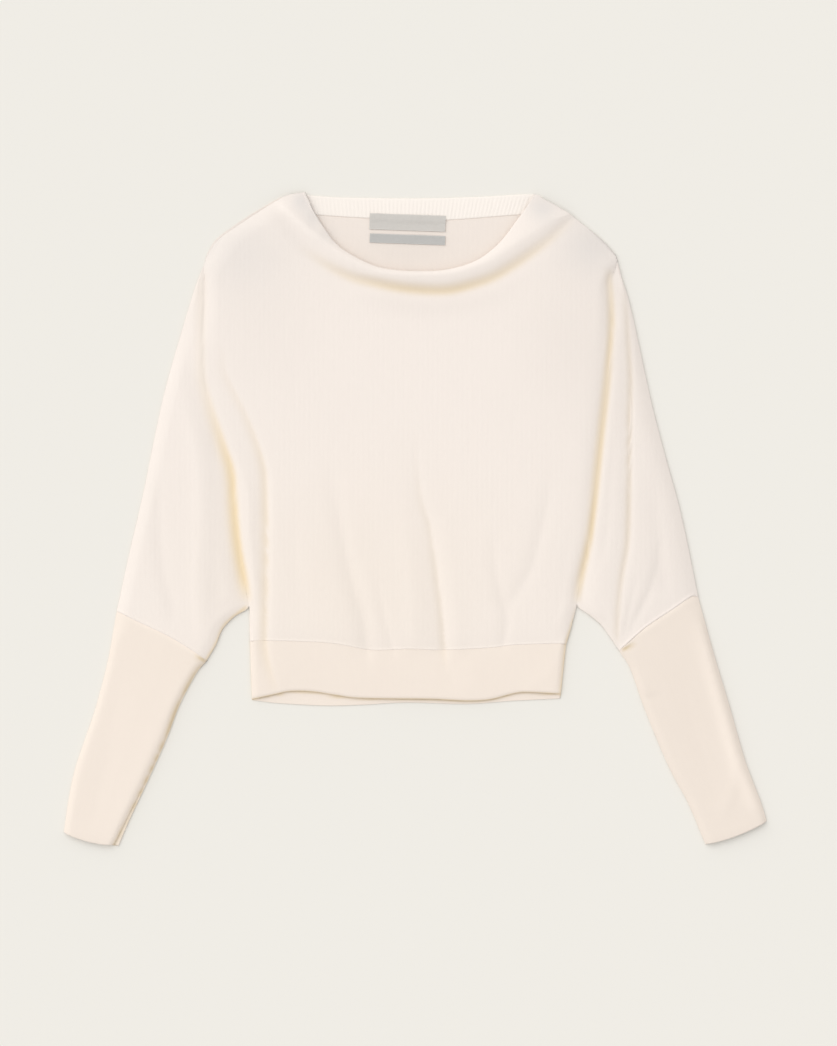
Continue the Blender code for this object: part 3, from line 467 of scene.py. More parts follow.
# The labels: the middle of each one's upper edge, its sizes and how high its underside is
LABELS = (
    # name, across, down, width, height, tilt, underside, underside_at_top
    ("label_main", 343.8, 21.7, 76.0, 16.0, -2.0, 1.3, 2.0),
    ("label_small", 343.6, 41.9, 75.5, 9.0, -2.0, 1.3, 1.3),
)
LABEL_THICK = 0.5
LABEL_ROWS = ((0.0, 0.03, 0.06, 0.1), 13)
LABEL_COLUMNS = ((0.0, 0.005, 0.01, 0.02), 45)
LABEL_EDGE = 0.6         # width of its paler woven edge
LABEL_RISE = (2.6, 4.4)  # how its height falls from that at the top: its start and its slope
LABEL_WAVE = 0.15
LABEL_WAVES = (9.0, 3.0)
LABEL_CLEAR = 0.1

# Camera, straight above: the photograph's middle, its distance and its height at the surface
VIEW_MIDDLE = (354.5, 330.0)
VIEW_DISTANCE = 2.6
VIEW_HEIGHT = 1.046
SENSOR = 36.0

# Light
OVERHEAD_LIGHT = 0.912
HORIZON_LIGHT = 0.615
KEY_LIGHT = 1.35
KEY_SPREAD = 70.0
KEY_TILT = (-30.0, -42.0)
KEY_COLOUR = (1.0, 0.995, 0.985)
FLOOR_SIZE = 40.0
FLOOR_GRAIN = 0.003

# Colours, as the light that they send back
CREAM = (0.868, 0.792, 0.732)
# warm colour of the shade painted into creases, the hem's opening and under the roll
CREASE_SHADE_CREAM = (0.828, 0.676, 0.462)
# cool grey of the shade painted on the shoulders and beside the neck's corners
COOL_SHADE_CREAM = (0.765, 0.715, 0.675)
INNER_CREAM = (0.838, 0.756, 0.692)
BAND_CREAM = (0.858, 0.762, 0.675)
RIB_CREAM = (0.905, 0.838, 0.775)
LABEL_MAIN = (0.581, 0.553, 0.516)
LABEL_SMALL = (0.475, 0.466, 0.447)
FLOOR = (0.80, 0.777, 0.726)
SHEEN = (1.0, 0.97, 0.93, 1.0)

# The knits: colour, width and height of a stitch, depth of the relief, how uneven the tone is
KNITS = {
    "knit": (CREAM, 1.25, 0.9, 0.08, 0.016),
    "inner_knit": (INNER_CREAM, 1.25, 0.9, 0.08, 0.016),
    "band_knit": (BAND_CREAM, 0.95, 0.7, 0.06, 0.016),
    "rib_knit": (RIB_CREAM, 0.95, 0.7, 0.05, 0.012),
}
STITCH_LEAN = 1.1
STITCH_BASE = 0.5
STREAK_SCALE = (330.0, 18.0, 1.0)
STREAK_HEIGHT = 1.3
FUZZ_SCALE = 900.0
CLOUD_SCALE = 14.0

# The labels' threads: how much they, their unevenness and the edge add to the tone
THREAD_TONE = 0.05
MOTTLE_TONE = 0.10
EDGE_TONE = 0.14
LABEL_TONE = 0.92


def place(across, down, height=0.0):
    """A point of the garment in the frame's metres."""
    return ((across - WIDTH / 2) * MM, (LENGTH / 2 - down) * MM, height * MM)


def smooth_curve(points, dense=24):
    """Many points on a smooth curve through a few."""
    knots = np.array(points, dtype=float)
    ends = np.vstack([2 * knots[0] - knots[1], knots, 2 * knots[-1] - knots[-2]])
    step = np.linspace(0.0, 1.0, dense, endpoint=False)[:, None]
    pieces = []
    for i in range(1, len(ends) - 2):
        pieces.append(between(ends[i - 1], ends[i], ends[i + 1], ends[i + 2], step))
    return np.vstack(pieces + [knots[-1:]])


def between(a, b, c, d, step):
    """A smooth curve's points from b to c, given the points before and after them."""
    return 0.5 * (2 * b + (c - a) * step + (2 * a - 5 * b + 4 * c - d) * step ** 2
                  + (3 * b - a - 3 * c + d) * step ** 3)


def along(points, fractions):
    """Points of a smooth curve at fractions of its length."""
    curve = smooth_curve(points)
    length = np.concatenate([[0], np.cumsum(np.hypot(*np.diff(curve, axis=0).T))])
    at = np.asarray(fractions, dtype=float) * length[-1]
    return np.column_stack([np.interp(at, length, curve[:, 0]), np.interp(at, length, curve[:, 1])])


def curve_length(points):
    """Length of the smooth curve through some points."""
    return float(np.hypot(*np.diff(smooth_curve(points), axis=0).T).sum())


def down_at(points, across):
    """How far down a left-to-right curve is at given places across."""
    curve = smooth_curve(points)
    return np.interp(across, curve[:, 0], curve[:, 1])


def nearest_on(points, spot):
    """The point of a curve that is nearest to a spot."""
    curve = smooth_curve(points)
    return curve[np.argmin(np.hypot(curve[:, 0] - spot[0], curve[:, 1] - spot[1]))]


def rounded(distance, width=EDGE_ROUND):
    """A rise from 0 at an edge to 1, steepest at the edge."""
    return 1.0 - (1.0 - np.clip(np.asarray(distance, dtype=float) / width, 0.0, 1.0)) ** ROUND_POWER


def smooth(value):
    """A soft step from 0 to 1."""
    value = np.clip(value, 0.0, 1.0)
    return value * value * (3 - 2 * value)


def graded(close, count):
    """Places from 0 to 1: some close together at each end, and even ones between them."""
    close = np.array(close)
    return np.concatenate([close[:-1], np.linspace(close[-1], 1.0 - close[-1], count), 1.0 - close[-2::-1]])


def fold_shapes(across, down, folds):
    """What the folds add to the height of some points, and how much warm shade and darkening they paint on
    them; darkening below 0 is a painted highlight.
    """
    shape = np.shape(across)
    across, down = np.ravel(across), np.ravel(down)
    relief, warm_shade, painted_shading = np.zeros(len(across)), np.zeros(len(across)), np.zeros(len(across))
    for name, left, right, line in folds:
        curve = smooth_curve(line, FOLD_DENSE)
        reach = FOLD_REACH * max(left, right)
        low, high = curve.min(axis=0) - reach, curve.max(axis=0) + reach
        chosen = np.flatnonzero((across > low[0]) & (across < high[0]) & (down > low[1]) & (down < high[1]))
        if not len(chosen):
            continue
        away_x = across[chosen, None] - curve[None, :, 0]
        away_y = down[chosen, None] - curve[None, :, 1]
        distance = np.hypot(away_x, away_y)
        near = distance.argmin(axis=1)
        pick = (np.arange(len(chosen)), near)
        course = np.gradient(curve[:, :2], axis=0)[near]
        on_left = course[:, 1] * away_x[pick] - course[:, 0] * away_y[pick] < 0
        distance = distance[pick]
        height = curve[near, 2]
        relief[chosen] += height * np.exp(-(distance / np.where(on_left, left, right)) ** FOLD_POWER)
        shade_warmth, tint_left, tint_right, shading_strength = FOLD_PAINTED_SHADES.get(name, NO_PAINTED_SHADE)
        tint = np.exp(-(distance / np.where(on_left, tint_left, tint_right)) ** TINT_POWER)
        tint *= np.abs(height) / np.abs(curve[:, 2]).max()
        warm_shade[chosen] = np.maximum(warm_shade[chosen], shade_warmth * tint)
        painted_shading[chosen] += shading_strength * tint
    return relief.reshape(shape), warm_shade.reshape(shape), painted_shading.reshape(shape)


def patch_shade(across, down, patches):
    """How strong some soft patches are at some points."""
    total = np.zeros(np.shape(across))
    for centre, middle, wide, tall, strength in patches:
        apart = ((across - centre) / wide) ** 2 + ((down - middle) / tall) ** 2
        total = total + strength * np.exp(-apart)
    return np.clip(total, 0.0, 1.0)


def refine(grid, row_counts, column_counts):
    """A finer grid on a smooth surface through a coarse one, with some steps per interval."""
    rows = refine_rows(grid, row_counts)
    return refine_rows(rows.transpose(1, 0, 2), column_counts).transpose(1, 0, 2)


def refine_rows(grid, counts):
    """Add smoothly placed rows between the rows of a grid."""
    ends = np.concatenate([2 * grid[:1] - grid[1:2], grid, 2 * grid[-1:] - grid[-2:-1]])
    rows = []
    for i, count in enumerate(counts):
        for step in np.arange(count) / count:
            rows.append(between(ends[i], ends[i + 1], ends[i + 2], ends[i + 3], step))
    rows.append(grid[-1])
    return np.array(rows)


def add_seam_rows(grid):
    """Put close rows beside a grid's last row, for the ridge along its seam."""
    last = grid[-1]
    apart = np.hypot(*(grid[-3] - last)[:, :2].T)
    rows = list(grid[:-2])
    for distance in SEAM_ROWS:
        share = np.minimum(distance / apart, SEAM_ROW_LIMIT)[:, None]
        rows.append(last + (grid[-3] - last) * share)
    return np.array(rows + [last])


def seam_ridge(grid, raise_by, width, pucker):
    """Raise the cloth along its seam and turn its last row down to the next piece."""
    distance = np.hypot(*(grid - grid[-1])[..., :2].transpose(2, 0, 1))
    bump = np.exp(-((distance - width) / width * RIDGE_FALL) ** 2)
    fine, coarse = PUCKER_WAVES
    ripple = 1.0 + pucker * np.sin(grid[..., 0] * fine) * np.sin(grid[..., 0] * coarse + 1.0)
    low = relief_share(grid)
    grid[..., 2] += raise_by * bump * ripple * low
    grid[-1, :, 2] -= SEAM_TUCK * low[-1]
    return grid


def relief_share(grid):
    """How much of the folds a point takes: none at the low outer edges."""
    return smooth((grid[..., 2] - EDGE) / RELIEF_RISE)


def body_columns(width):
    """Distances from the left edge of a row's columns."""
    middle = np.linspace(BESIDE[-1], width - BESIDE[-1], BODY_COLUMNS + 2)[1:-1]
    return np.concatenate([BESIDE, middle, (width - BESIDE)[::-1]])


def neck_row(left_height, right_height, knots):
    """One row of the draped neck, from shoulder to shoulder."""
    knots = np.array(knots, dtype=float)
    knots[0, :2] = nearest_on(SHOULDER_LEFT, knots[0])
    knots[-1, :2] = nearest_on(SHOULDER_RIGHT, knots[-1])
    curve = smooth_curve(knots)
    offset = body_columns(knots[-1, 0] - knots[0, 0])
    across = knots[0, 0] + offset
    down = np.interp(across, curve[:, 0], curve[:, 1])
    height = np.interp(across, curve[:, 0], curve[:, 2])
    share = offset / offset[-1]
    edge = left_height + (right_height - left_height) * share
    near = np.minimum(offset, offset[-1] - offset)
    return np.column_stack([across, down, edge + (height - edge) * rounded(near, SHOULDER_ROUND)])


def neck_rows(after):
    """All the rows of the neck, down to the body's own first row."""
    curves = [neck_row(*row) for row in NECK_CURVES] + [after]
    rows = []
    for first, share, change in NECK_BETWEEN:
        row = curves[first] + (curves[first + 1] - curves[first]) * share
        row[:, 2] = curves[first][:, 2] + (curves[first + 1][:, 2] - curves[first][:, 2]) * change
        if share:
            row[0, :2] = nearest_on(SHOULDER_LEFT, row[0])
            row[-1, :2] = nearest_on(SHOULDER_RIGHT, row[-1])
        rows.append(row)
    return rows


def facing_rows(fold):
    """The neck's edge turned inside, worked out from the fold's own row."""
    tangent = np.gradient(fold[:, :2], axis=0)
    normal = np.column_stack([-tangent[:, 1], tangent[:, 0]])
    normal /= np.linalg.norm(normal, axis=1)[:, None]
    share = np.linspace(0.0, 1.0, len(fold))
    keep = FACING_AT_CORNER + (1.0 - FACING_AT_CORNER) * np.sin(math.pi * share) ** FACING_POWER
    rows = []
    for inward, height in FACING:
        points = fold[:, :2] + normal * (inward * keep)[:, None]
        rows.append(np.column_stack([points, np.full(len(fold), height)]))
    return rows


def low_edge(share):
    """How far a row's ends are down at the outline: at the shoulder's end and at the underarm."""
    return max(0.0, 1.0 - (share / LOW_START) ** 2, (share - 1.0) / LOW_END + 1.0)


def folded_row(start, end, share):
    """A row of the body between the two deep folds."""
    sag = SAG_TOP * (1.0 - share) ** SAG_POWER + SAG_BOTTOM * share
    width = end[0] - start[0]
    offset = body_columns(width)
    part = offset / width
    hang = sag * (1.0 - np.abs(2.0 * part - 1.0) ** SAG_SQUARE)
    down = start[1] + (end[1] - start[1]) * part + hang
    near = np.minimum(offset, width - offset)
    height = CHEST - (CHEST - JOIN) * (1.0 - rounded(near, JOIN_ROUND))
    low = EDGE + (height - EDGE) * rounded(near, SHOULDER_ROUND)
    return np.column_stack([start[0] + offset, down, height + (low - height) * low_edge(share)])


def body_control():
    """Control grid of the body's front, from the turned-in neck edge down to the hem seam."""
    shares = np.linspace(0.0, 1.0, FOLD_ROWS + 1)
    starts, ends = along(FOLD_LEFT, shares), along(FOLD_RIGHT, shares)
    folded = [folded_row(start, end, share) for share, start, end in zip(shares, starts, ends)]
    neck = neck_rows(folded[0])
    rows = facing_rows(neck[0]) + neck + folded
    underarm = rows[-1]
    first, last = np.array(SIDE_LEFT[-1]), np.array(SIDE_RIGHT[-1])
    offset = body_columns(last[0] - first[0])
    across = first[0] + offset
    near = np.minimum(offset, offset[-1] - offset)
    seam_height = EDGE + (BAND - EDGE) * rounded(near, SEAM_ROUND)
    seam = np.column_stack([across, down_at(HEM_SEAM, across), seam_height])
    for i in range(1, SIDE_ROWS + 1):
        share = i / SIDE_ROWS
        row = underarm + (seam - underarm) * share
        full = EDGE + (CHEST - EDGE) * rounded(near)
        row[:, 2] = full + (seam[:, 2] - full) * share ** SIDE_FALL
        if i < SIDE_ROWS:
            row[0, :2] = along(SIDE_LEFT, [share])[0]
            row[-1, :2] = along(SIDE_RIGHT, [share])[0]
        rows.append(row)
    return np.array(rows), len(FACING) + len(neck)


def spread(width, start, middle, end):
    """Distances across a strip: close together near its edges, even in its middle."""
    scale = min(1.0, width / EDGE_CROWD / max(start[-1] + end[-1], 1e-6))
    first = np.array(start) * scale
    last = width - np.array(end)[::-1] * scale
    return np.concatenate([first, np.linspace(first[-1], last[0], middle + 2)[1:-1], last])


def sleeve_frame(fold, underarm, outer):
    """Where each row of a sleeve starts on the body's side and ends on the outer edge."""
    length = curve_length(fold)
    turn = length / (length + curve_length(underarm))
    rows = np.linspace(0.0, 1.0, FOLD_ROWS + 1)
    ends = np.linspace(0.0, 1.0, UNDERARM_ROWS + 1)[1:]
    inner = np.vstack([along(fold, rows), along(underarm, ends)])
    shares = np.concatenate([turn * rows, turn + (1.0 - turn) * ends])
    return inner, along(outer, shares), shares


def bend_to_seam(points, seam, fractions, row):
    """Bend a sleeve's straight row towards its cuff seam."""
    curve = along(seam, fractions)
    line = curve[0] + (curve[-1] - curve[0]) * fractions[:, None]
    return points + (curve - line) * max(0.0, (row - FOLD_ROWS) / UNDERARM_ROWS) ** 2


def sleeve_height(from_outer, from_inner, row, outer_round):
    """Heights across a sleeve: low at its outer edge and the underarm, level with the body's side."""
    narrow = min(1.0, (from_outer[0] + from_inner[0]) / NARROW) ** 2
    full = EDGE + (SLEEVE - EDGE) * (NARROW_SHARE + (1.0 - NARROW_SHARE) * narrow)
    join = EDGE + (JOIN - EDGE) * (1.0 - low_edge(min(1.0, row / FOLD_ROWS)))
    top = join + (full - join) * smooth(from_inner / SLEEVE_JOIN)
    if row > FOLD_ROWS:
        top = EDGE + (full - EDGE) * rounded(from_inner)
    outer_round = min(outer_round, 0.5 * (from_outer[0] + from_inner[0]) + 1.0)
    return np.minimum(top, EDGE + (np.maximum(full, top) - EDGE) * rounded(from_outer, outer_round))


def left_sleeve_control():
    """Control grid of the left sleeve, from its outer edge to the fold or the underarm."""
    inner, outer, _ = sleeve_frame(FOLD_LEFT, UNDERARM_LEFT, SLEEVE_LEFT)
    grid = []
    for i in range(len(inner)):
        width = np.hypot(*(inner[i] - outer[i])) + 1e-9
        run = spread(width, OUTER_STEPS, SLEEVE_MIDDLE, FOLD_STEPS)
        fractions = run / width
        points = outer[i] + (inner[i] - outer[i]) * fractions[:, None]
        points = bend_to_seam(points, CUFF_SEAM_LEFT, fractions, i)
        grid.append(np.column_stack([points, sleeve_height(run, width - run, i, EDGE_ROUND)]))
    return np.array(grid)


def right_sleeve_control():
    """Control grid of the right sleeve, from the deep fold over its own fold to the outer edge."""
    inner, outer, shares = sleeve_frame(FOLD_RIGHT, UNDERARM_RIGHT, SLEEVE_RIGHT)
    middle = along(SLEEVE_FOLD_RIGHT, shares)
    grid = []
    for i in range(len(inner)):
        lobe_width = np.hypot(*(middle[i] - inner[i])) + 1e-9
        strip_width = np.hypot(*(outer[i] - middle[i])) + 1e-9
        lobe_run = spread(lobe_width, FOLD_STEPS, LOBE_MIDDLE, STRIP_STEPS)
        strip_run = spread(strip_width, STRIP_STEPS, STRIP_MIDDLE, OUTER_STEPS)[1:]
        lobe = inner[i] + (middle[i] - inner[i]) * (lobe_run / lobe_width)[:, None]
        strip = middle[i] + (outer[i] - middle[i]) * (strip_run / strip_width)[:, None]
        points = np.vstack([lobe, strip])
        run = np.concatenate([lobe_run, lobe_width + strip_run])
        points = bend_to_seam(points, CUFF_SEAM_RIGHT[::-1], run / run[-1], i)
        height = sleeve_height(run[-1] - run, run, i, RIGHT_SLEEVE_ROUND)
        grid.append(np.column_stack([points, height]))
    return np.array(grid)


def front_grids():
    """Fine grids of the front's body and sleeves, which share the points of the deep folds."""
    control, above = body_control()
    rows = [NECK_COUNT] * above + [FOLD_COUNT] * FOLD_ROWS + [SIDE_COUNT] * SIDE_ROWS
    columns = BESIDE_COUNTS + [MIDDLE_COUNT] * (BODY_COLUMNS + 1) + BESIDE_COUNTS[::-1]
    body = refine(control, rows, columns)
    sleeve_rows = [FOLD_COUNT] * FOLD_ROWS + [SLEEVE_COUNT] * UNDERARM_ROWS
    left = refine(left_sleeve_control(), sleeve_rows, LEFT_SLEEVE_COUNTS)
    right = refine(right_sleeve_control(), sleeve_rows, RIGHT_SLEEVE_COUNTS)
    first = above * NECK_COUNT
    shared = FOLD_COUNT * FOLD_ROWS + 1
    left[:shared, -1] = body[first:first + shared, 0]
    right[:shared, 0] = body[first:first + shared, -1]
    facing = len(FACING) * NECK_COUNT
    grids = []
    for grid, unfolded, ridge in zip((body, left, right), (facing, 0, 0), SEAM_RIDGES):
        grid = add_seam_rows(grid)
        relief = fold_shapes(grid[..., 0], grid[..., 1], FOLDS)[0]
        relief[:unfolded] = 0.0
        grid[..., 2] += relief * relief_share(grid)
        grids.append(seam_ridge(grid, *ridge))
    return grids


def sheet(grids, flip=False, own_map=False):
    """One open surface from grids that share points along their edges, with its knit's map."""
    work = bmesh.new()
    knit = work.loops.layers.uv.new("knit")
    for grid in grids:
        chart = ring_map(grid) if own_map else grid[..., :2] * MM
        verts = [[work.verts.new(place(*point)) for point in row] for row in grid]
        for r, (upper, lower) in enumerate(zip(verts, verts[1:])):
            for c in range(len(upper) - 1):
                corners = [(r, c), (r + 1, c), (r + 1, c + 1), (r, c + 1)]
                if flip:
                    corners.reverse()
                face = work.faces.new([verts[i][j] for i, j in corners])
                for loop, (i, j) in zip(face.loops, corners):
                    loop[knit].uv = chart[i][j]
    bmesh.ops.remove_doubles(work, verts=work.verts, dist=MERGE)
    bmesh.ops.dissolve_degenerate(work, edges=work.edges, dist=MERGE)
    return work


def ring_map(grid):
    """A tube's own flat map in metres: round each ring, and along the tube."""
    step = np.linalg.norm(np.diff(grid, axis=1), axis=2)
    round_it = np.concatenate([np.zeros((len(grid), 1)), np.cumsum(step, axis=1)], axis=1)
    centre = grid.mean(axis=1)
    length = np.concatenate([[0.0], np.cumsum(np.linalg.norm(np.diff(centre, axis=0), axis=1))])
    return np.stack([round_it, np.repeat(length[:, None], grid.shape[1], axis=1)], axis=2) * MM


def add_piece(name, work, material, node, wall=WALL, folds=()):
    """Turn a bmesh into a piece that stands for a node of the frame."""
    mesh = bpy.data.meshes.new(name)
    work.to_mesh(mesh)
    work.free()
    mesh.shade_smooth()
    mesh.materials.append(material)
    piece = bpy.data.objects.new(name, mesh)
    bpy.context.scene.collection.objects.link(piece)
    across, down, _ = spots_of(mesh)
    # Painted shade: warm in creases, darker along folds and in patches, paler where a painted highlight, and
    # cool grey in its own patches
    _, warm_shade, painted_shading = fold_shapes(across, down, folds)
    mark(mesh, "painted_warm_shade", np.clip(warm_shade + patch_shade(across, down, WARM_SHADE_PATCHES), 0.0, 1.0))
    mark(mesh, "painted_shading", np.clip(painted_shading + patch_shade(across, down, PAINTED_SHADE_PATCHES), -1.0, 1.0))
    mark(mesh, "painted_cool_shade", patch_shade(across, down, COOL_SHADE_PATCHES) * (1.0 - warm_shade))
    if wall:
        solid = piece.modifiers.new("wall", "SOLIDIFY")
        solid.thickness = wall * MM
        solid.offset = -1.0
        solid.use_quality_normals = True
    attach(piece, "root")
    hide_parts(node)
    return piece


def spots_of(mesh):
    """Where each point of a mesh is on the garment: across, down and height."""
    spots = np.zeros(len(mesh.vertices) * 3)
    mesh.vertices.foreach_get("co", spots)
    spots = spots.reshape(-1, 3) / MM
    return spots[:, 0] + WIDTH / 2, LENGTH / 2 - spots[:, 1], spots[:, 2]


def mark(mesh, name, values):
    """Keep a value for each point of a mesh, for its material to read."""
    layer = mesh.attributes.get(name) or mesh.attributes.new(name, "FLOAT", "POINT")
    layer.data.foreach_set("value", np.asarray(values, dtype=np.float32))


def node_maker(tree):
    """A short way to add nodes and links to a material."""
    def add(kind, inputs=None, **settings):
        node = tree.nodes.new(kind)
        for name, value in settings.items():
            setattr(node, name, value)
        set_inputs(node, inputs or {})
        return node
    return add


def set_inputs(node, inputs):
    """Give a node's inputs their values, or link them to the outputs of other nodes."""
    for name, value in inputs.items():
        if isinstance(value, bpy.types.NodeSocket):
            node.id_data.links.new(value, node.inputs[name])
        else:
            node.inputs[name].default_value = value


def new_material(name):
    """A material, its shader and its way to add nodes."""
    made = bpy.data.materials.new(name)
    made.use_nodes = True
    return made, made.node_tree.nodes["Principled BSDF"], node_maker(made.node_tree)


def maths(add, operation, first, second=0.0):
    """A Math node's output."""
    return add("ShaderNodeMath", operation=operation, inputs={0: first, 1: second}).outputs[0]


def noise(add, where, scale, detail):
    """A Noise Texture's output."""
    inputs = {"Vector": where, "Scale": scale, "Detail": detail}
    return add("ShaderNodeTexNoise", inputs=inputs).outputs["Fac"]


def marked(add, name):
    """A value that mark() keeps for each point."""
    return add("ShaderNodeAttribute", attribute_name=name).outputs["Fac"]


def mixed(add, share, first, second):
    """A colour between two."""
    return add("ShaderNodeMix", data_type="RGBA", inputs={0: share, 6: first, 7: (*second, 1.0)}).outputs[2]


def scaled(add, colour, tone):
    """A colour made darker or paler."""
    return add("ShaderNodeVectorMath", operation="SCALE", inputs={0: colour, "Scale": tone}).outputs[0]


def knit_material(name, colour, wale, course, depth, mottling):
    """Fine knit: columns of stitches, streaks along them, a soft nap, and warm, cool and darker shade
    painted into its colour.
    """
    made, shader, add = new_material(name)
    where = add("ShaderNodeUVMap", uv_map="knit").outputs["UV"]
    parts = add("ShaderNodeSeparateXYZ", inputs={0: where})
    column = maths(add, "MULTIPLY", parts.outputs[0], math.pi / (wale * MM))
    leg = maths(add, "ABSOLUTE", maths(add, "SINE", column))
    along_it = maths(add, "MULTIPLY", parts.outputs[1], math.pi / (course * MM))
    row = maths(add, "ADD", along_it, maths(add, "MULTIPLY", leg, STITCH_LEAN))
    bulge = maths(add, "ADD", maths(add, "ABSOLUTE", maths(add, "SINE", row)), STITCH_BASE)
    stretched = add("ShaderNodeMapping", inputs={"Vector": where, "Scale": STREAK_SCALE})
    streaks = noise(add, stretched.outputs[0], 1.0, 3.0)
    spot = add("ShaderNodeTexCoord").outputs["Object"]
    cloud = noise(add, spot, CLOUD_SCALE, 2.0)
    height = maths(add, "MULTIPLY", leg, bulge)
    height = maths(add, "ADD", height, maths(add, "MULTIPLY", streaks, STREAK_HEIGHT))
    height = maths(add, "ADD", height, noise(add, spot, FUZZ_SCALE, 3.0))
    bump = add("ShaderNodeBump", inputs={"Strength": 1.0, "Distance": depth * MM, "Height": height})
    uneven = maths(add, "SUBTRACT", maths(add, "ADD", streaks, cloud), 1.0)
    tone = maths(add, "ADD", maths(add, "MULTIPLY", uneven, mottling), 1.0)
    # painted shade darkens the tone, and a painted highlight makes it paler
    tone = maths(add, "SUBTRACT", tone, maths(add, "MULTIPLY", marked(add, "painted_shading"), DARKENING))
    cool_shaded = mixed(add, marked(add, "painted_cool_shade"), (*colour, 1.0), COOL_SHADE_CREAM)
    warm_shaded = mixed(add, marked(add, "painted_warm_shade"), cool_shaded, CREASE_SHADE_CREAM)
    set_inputs(shader, {"Base Color": scaled(add, warm_shaded, tone), "Normal": bump.outputs[0],
                        "Roughness": 0.92, "Specular IOR Level": 0.2, "Sheen Weight": 0.12,
                        "Sheen Roughness": 0.5, "Sheen Tint": SHEEN})
    return made


def label_material(name, colour):
    """Woven satin: fine slanted threads, a paler woven edge and a slight gloss."""
    made, shader, add = new_material(name)
    where = add("ShaderNodeUVMap", uv_map="knit").outputs["UV"]
    wave = add("ShaderNodeTexWave", wave_type="BANDS", bands_direction="DIAGONAL",
               inputs={"Vector": where, "Scale": 900.0, "Distortion": 0.6, "Detail": 1.0})
    threads = wave.outputs["Fac"]
    tone = maths(add, "ADD", maths(add, "MULTIPLY", threads, THREAD_TONE), LABEL_TONE)
    tone = maths(add, "ADD", tone, maths(add, "MULTIPLY", noise(add, where, 260.0, 3.0), MOTTLE_TONE))
    tone = maths(add, "ADD", tone, maths(add, "MULTIPLY", marked(add, "edge"), EDGE_TONE))
    bump = add("ShaderNodeBump", inputs={"Strength": 0.6, "Distance": 0.0001, "Height": threads})
    set_inputs(shader, {"Base Color": scaled(add, colour, tone), "Normal": bump.outputs[0],
                        "Roughness": 0.55, "Sheen Weight": 0.1})
    return made


def make_front(material):
    """The front: body and both sleeves in one, with the draped neck."""
    return add_piece("front_cloth", sheet(front_grids()), material, "front", folds=FOLDS)


def back_control():
    """Control grids of the back: its body from the rib's seam down, and its two sleeves."""
    even = np.linspace(0.0, 1.0, BACK_COLUMNS)
    seam = [(across, down - SEAM_UNDER) for across, down in NECK_SEAM[1:-1]]
    top = along(BACK_NECK_LEFT + seam + BACK_NECK_RIGHT, even)
    middle = along([SHOULDER_LEFT[-1], BACK_MIDDLE, SHOULDER_RIGHT[-1]], even)
    begun = [start / curve_length(shoulder)
             for start, shoulder in zip(BACK_STARTS, (SHOULDER_LEFT, SHOULDER_RIGHT))]
    near_start = np.clip(1 - even * SHOULDER_END, 0, 1)[:, None] ** 2
    near_end = np.clip(even * SHOULDER_END - (SHOULDER_END - 1), 0, 1)[:, None] ** 2
    rows = []
    for share in np.arange(BACK_NECK_ROWS) / BACK_NECK_ROWS:
        row = top + (middle - top) * share
        start = along(SHOULDER_LEFT, [begun[0] + (1 - begun[0]) * share])[0]
        end = along(SHOULDER_RIGHT, [begun[1] + (1 - begun[1]) * share])[0]
        peek = BACK_PEEK * math.sin(math.pi * min(1.0, share * PEEK_END)) ** PEEK_POWER
        start = start + PEEK_SIDEWAYS * peek
        row = row + (start - row[0]) * near_start
        rows.append(row + (end - row[-1]) * near_end)
    shares = np.linspace(0.0, 1.0, FOLD_ROWS + 1)
    hang = BACK_MIDDLE[1] - (SHOULDER_LEFT[-1][1] + SHOULDER_RIGHT[-1][1]) / 2
    for share, start, end in zip(shares, along(FOLD_LEFT, shares), along(FOLD_RIGHT, shares)):
        row = start + (end - start) * even[:, None]
        row[:, 1] += hang * (1.0 - share) ** 2 * np.sin(math.pi * even)
        rows.append(row)
    seam_at = HEM_SEAM[0][0] + (HEM_SEAM[-1][0] - HEM_SEAM[0][0]) * even
    seam = np.column_stack([seam_at, down_at(HEM_SEAM, seam_at)])
    halfway = (rows[-1] + seam) / 2
    halfway[0], halfway[-1] = along(SIDE_LEFT, [0.5])[0], along(SIDE_RIGHT, [0.5])[0]
    left = back_sleeve(FOLD_LEFT, UNDERARM_LEFT, SLEEVE_LEFT, CUFF_SEAM_LEFT)
    right = back_sleeve(FOLD_RIGHT, UNDERARM_RIGHT, SLEEVE_RIGHT, CUFF_SEAM_RIGHT)
    return np.array(rows + [halfway, seam]), left, right[:, ::-1]


def back_sleeve(fold, underarm, outer, seam):
    """Control grid of one of the back's sleeves, from its outer edge in."""
    inner, far, _ = sleeve_frame(fold, underarm, outer)
    part = np.linspace(0.0, 1.0, BACK_SLEEVE_COLUMNS)
    rows = [far[i] + (inner[i] - far[i]) * part[:, None] for i in range(len(inner))]
    return np.array([bend_to_seam(row, seam, part, i) for i, row in enumerate(rows)])


def outline_distance(points, lines):
    """Distance of each point from the nearest of some curves."""
    flat = points.reshape(-1, 2)
    best = np.full(len(flat), 1e9)
    for line in lines:
        for spot in smooth_curve(line, 40)[::2]:
            best = np.minimum(best, np.hypot(flat[:, 0] - spot[0], flat[:, 1] - spot[1]))
    return best.reshape(points.shape[:-1])


def with_edge_columns(grid):
    """Add columns close to the two ends of each row, and double the rows."""
    grid = refine_rows(grid, [2] * (len(grid) - 1))
    fractions = np.linspace(0.0, 1.0, grid.shape[1])
    rows = []
    for row in grid:
        width = np.hypot(*(row[-1, :2] - row[0, :2])) + 1e-9
        near = BACK_EDGE_COLUMNS / width * min(1.0, EDGE_COLUMNS_SHARE * fractions[1] * width)
        wanted = np.concatenate([[0.0], near, fractions[1:-1], 1.0 - near[::-1], [1.0]])
        rows.append(np.column_stack([np.interp(wanted, fractions, row[:, k]) for k in range(3)]))
    return np.array(rows)


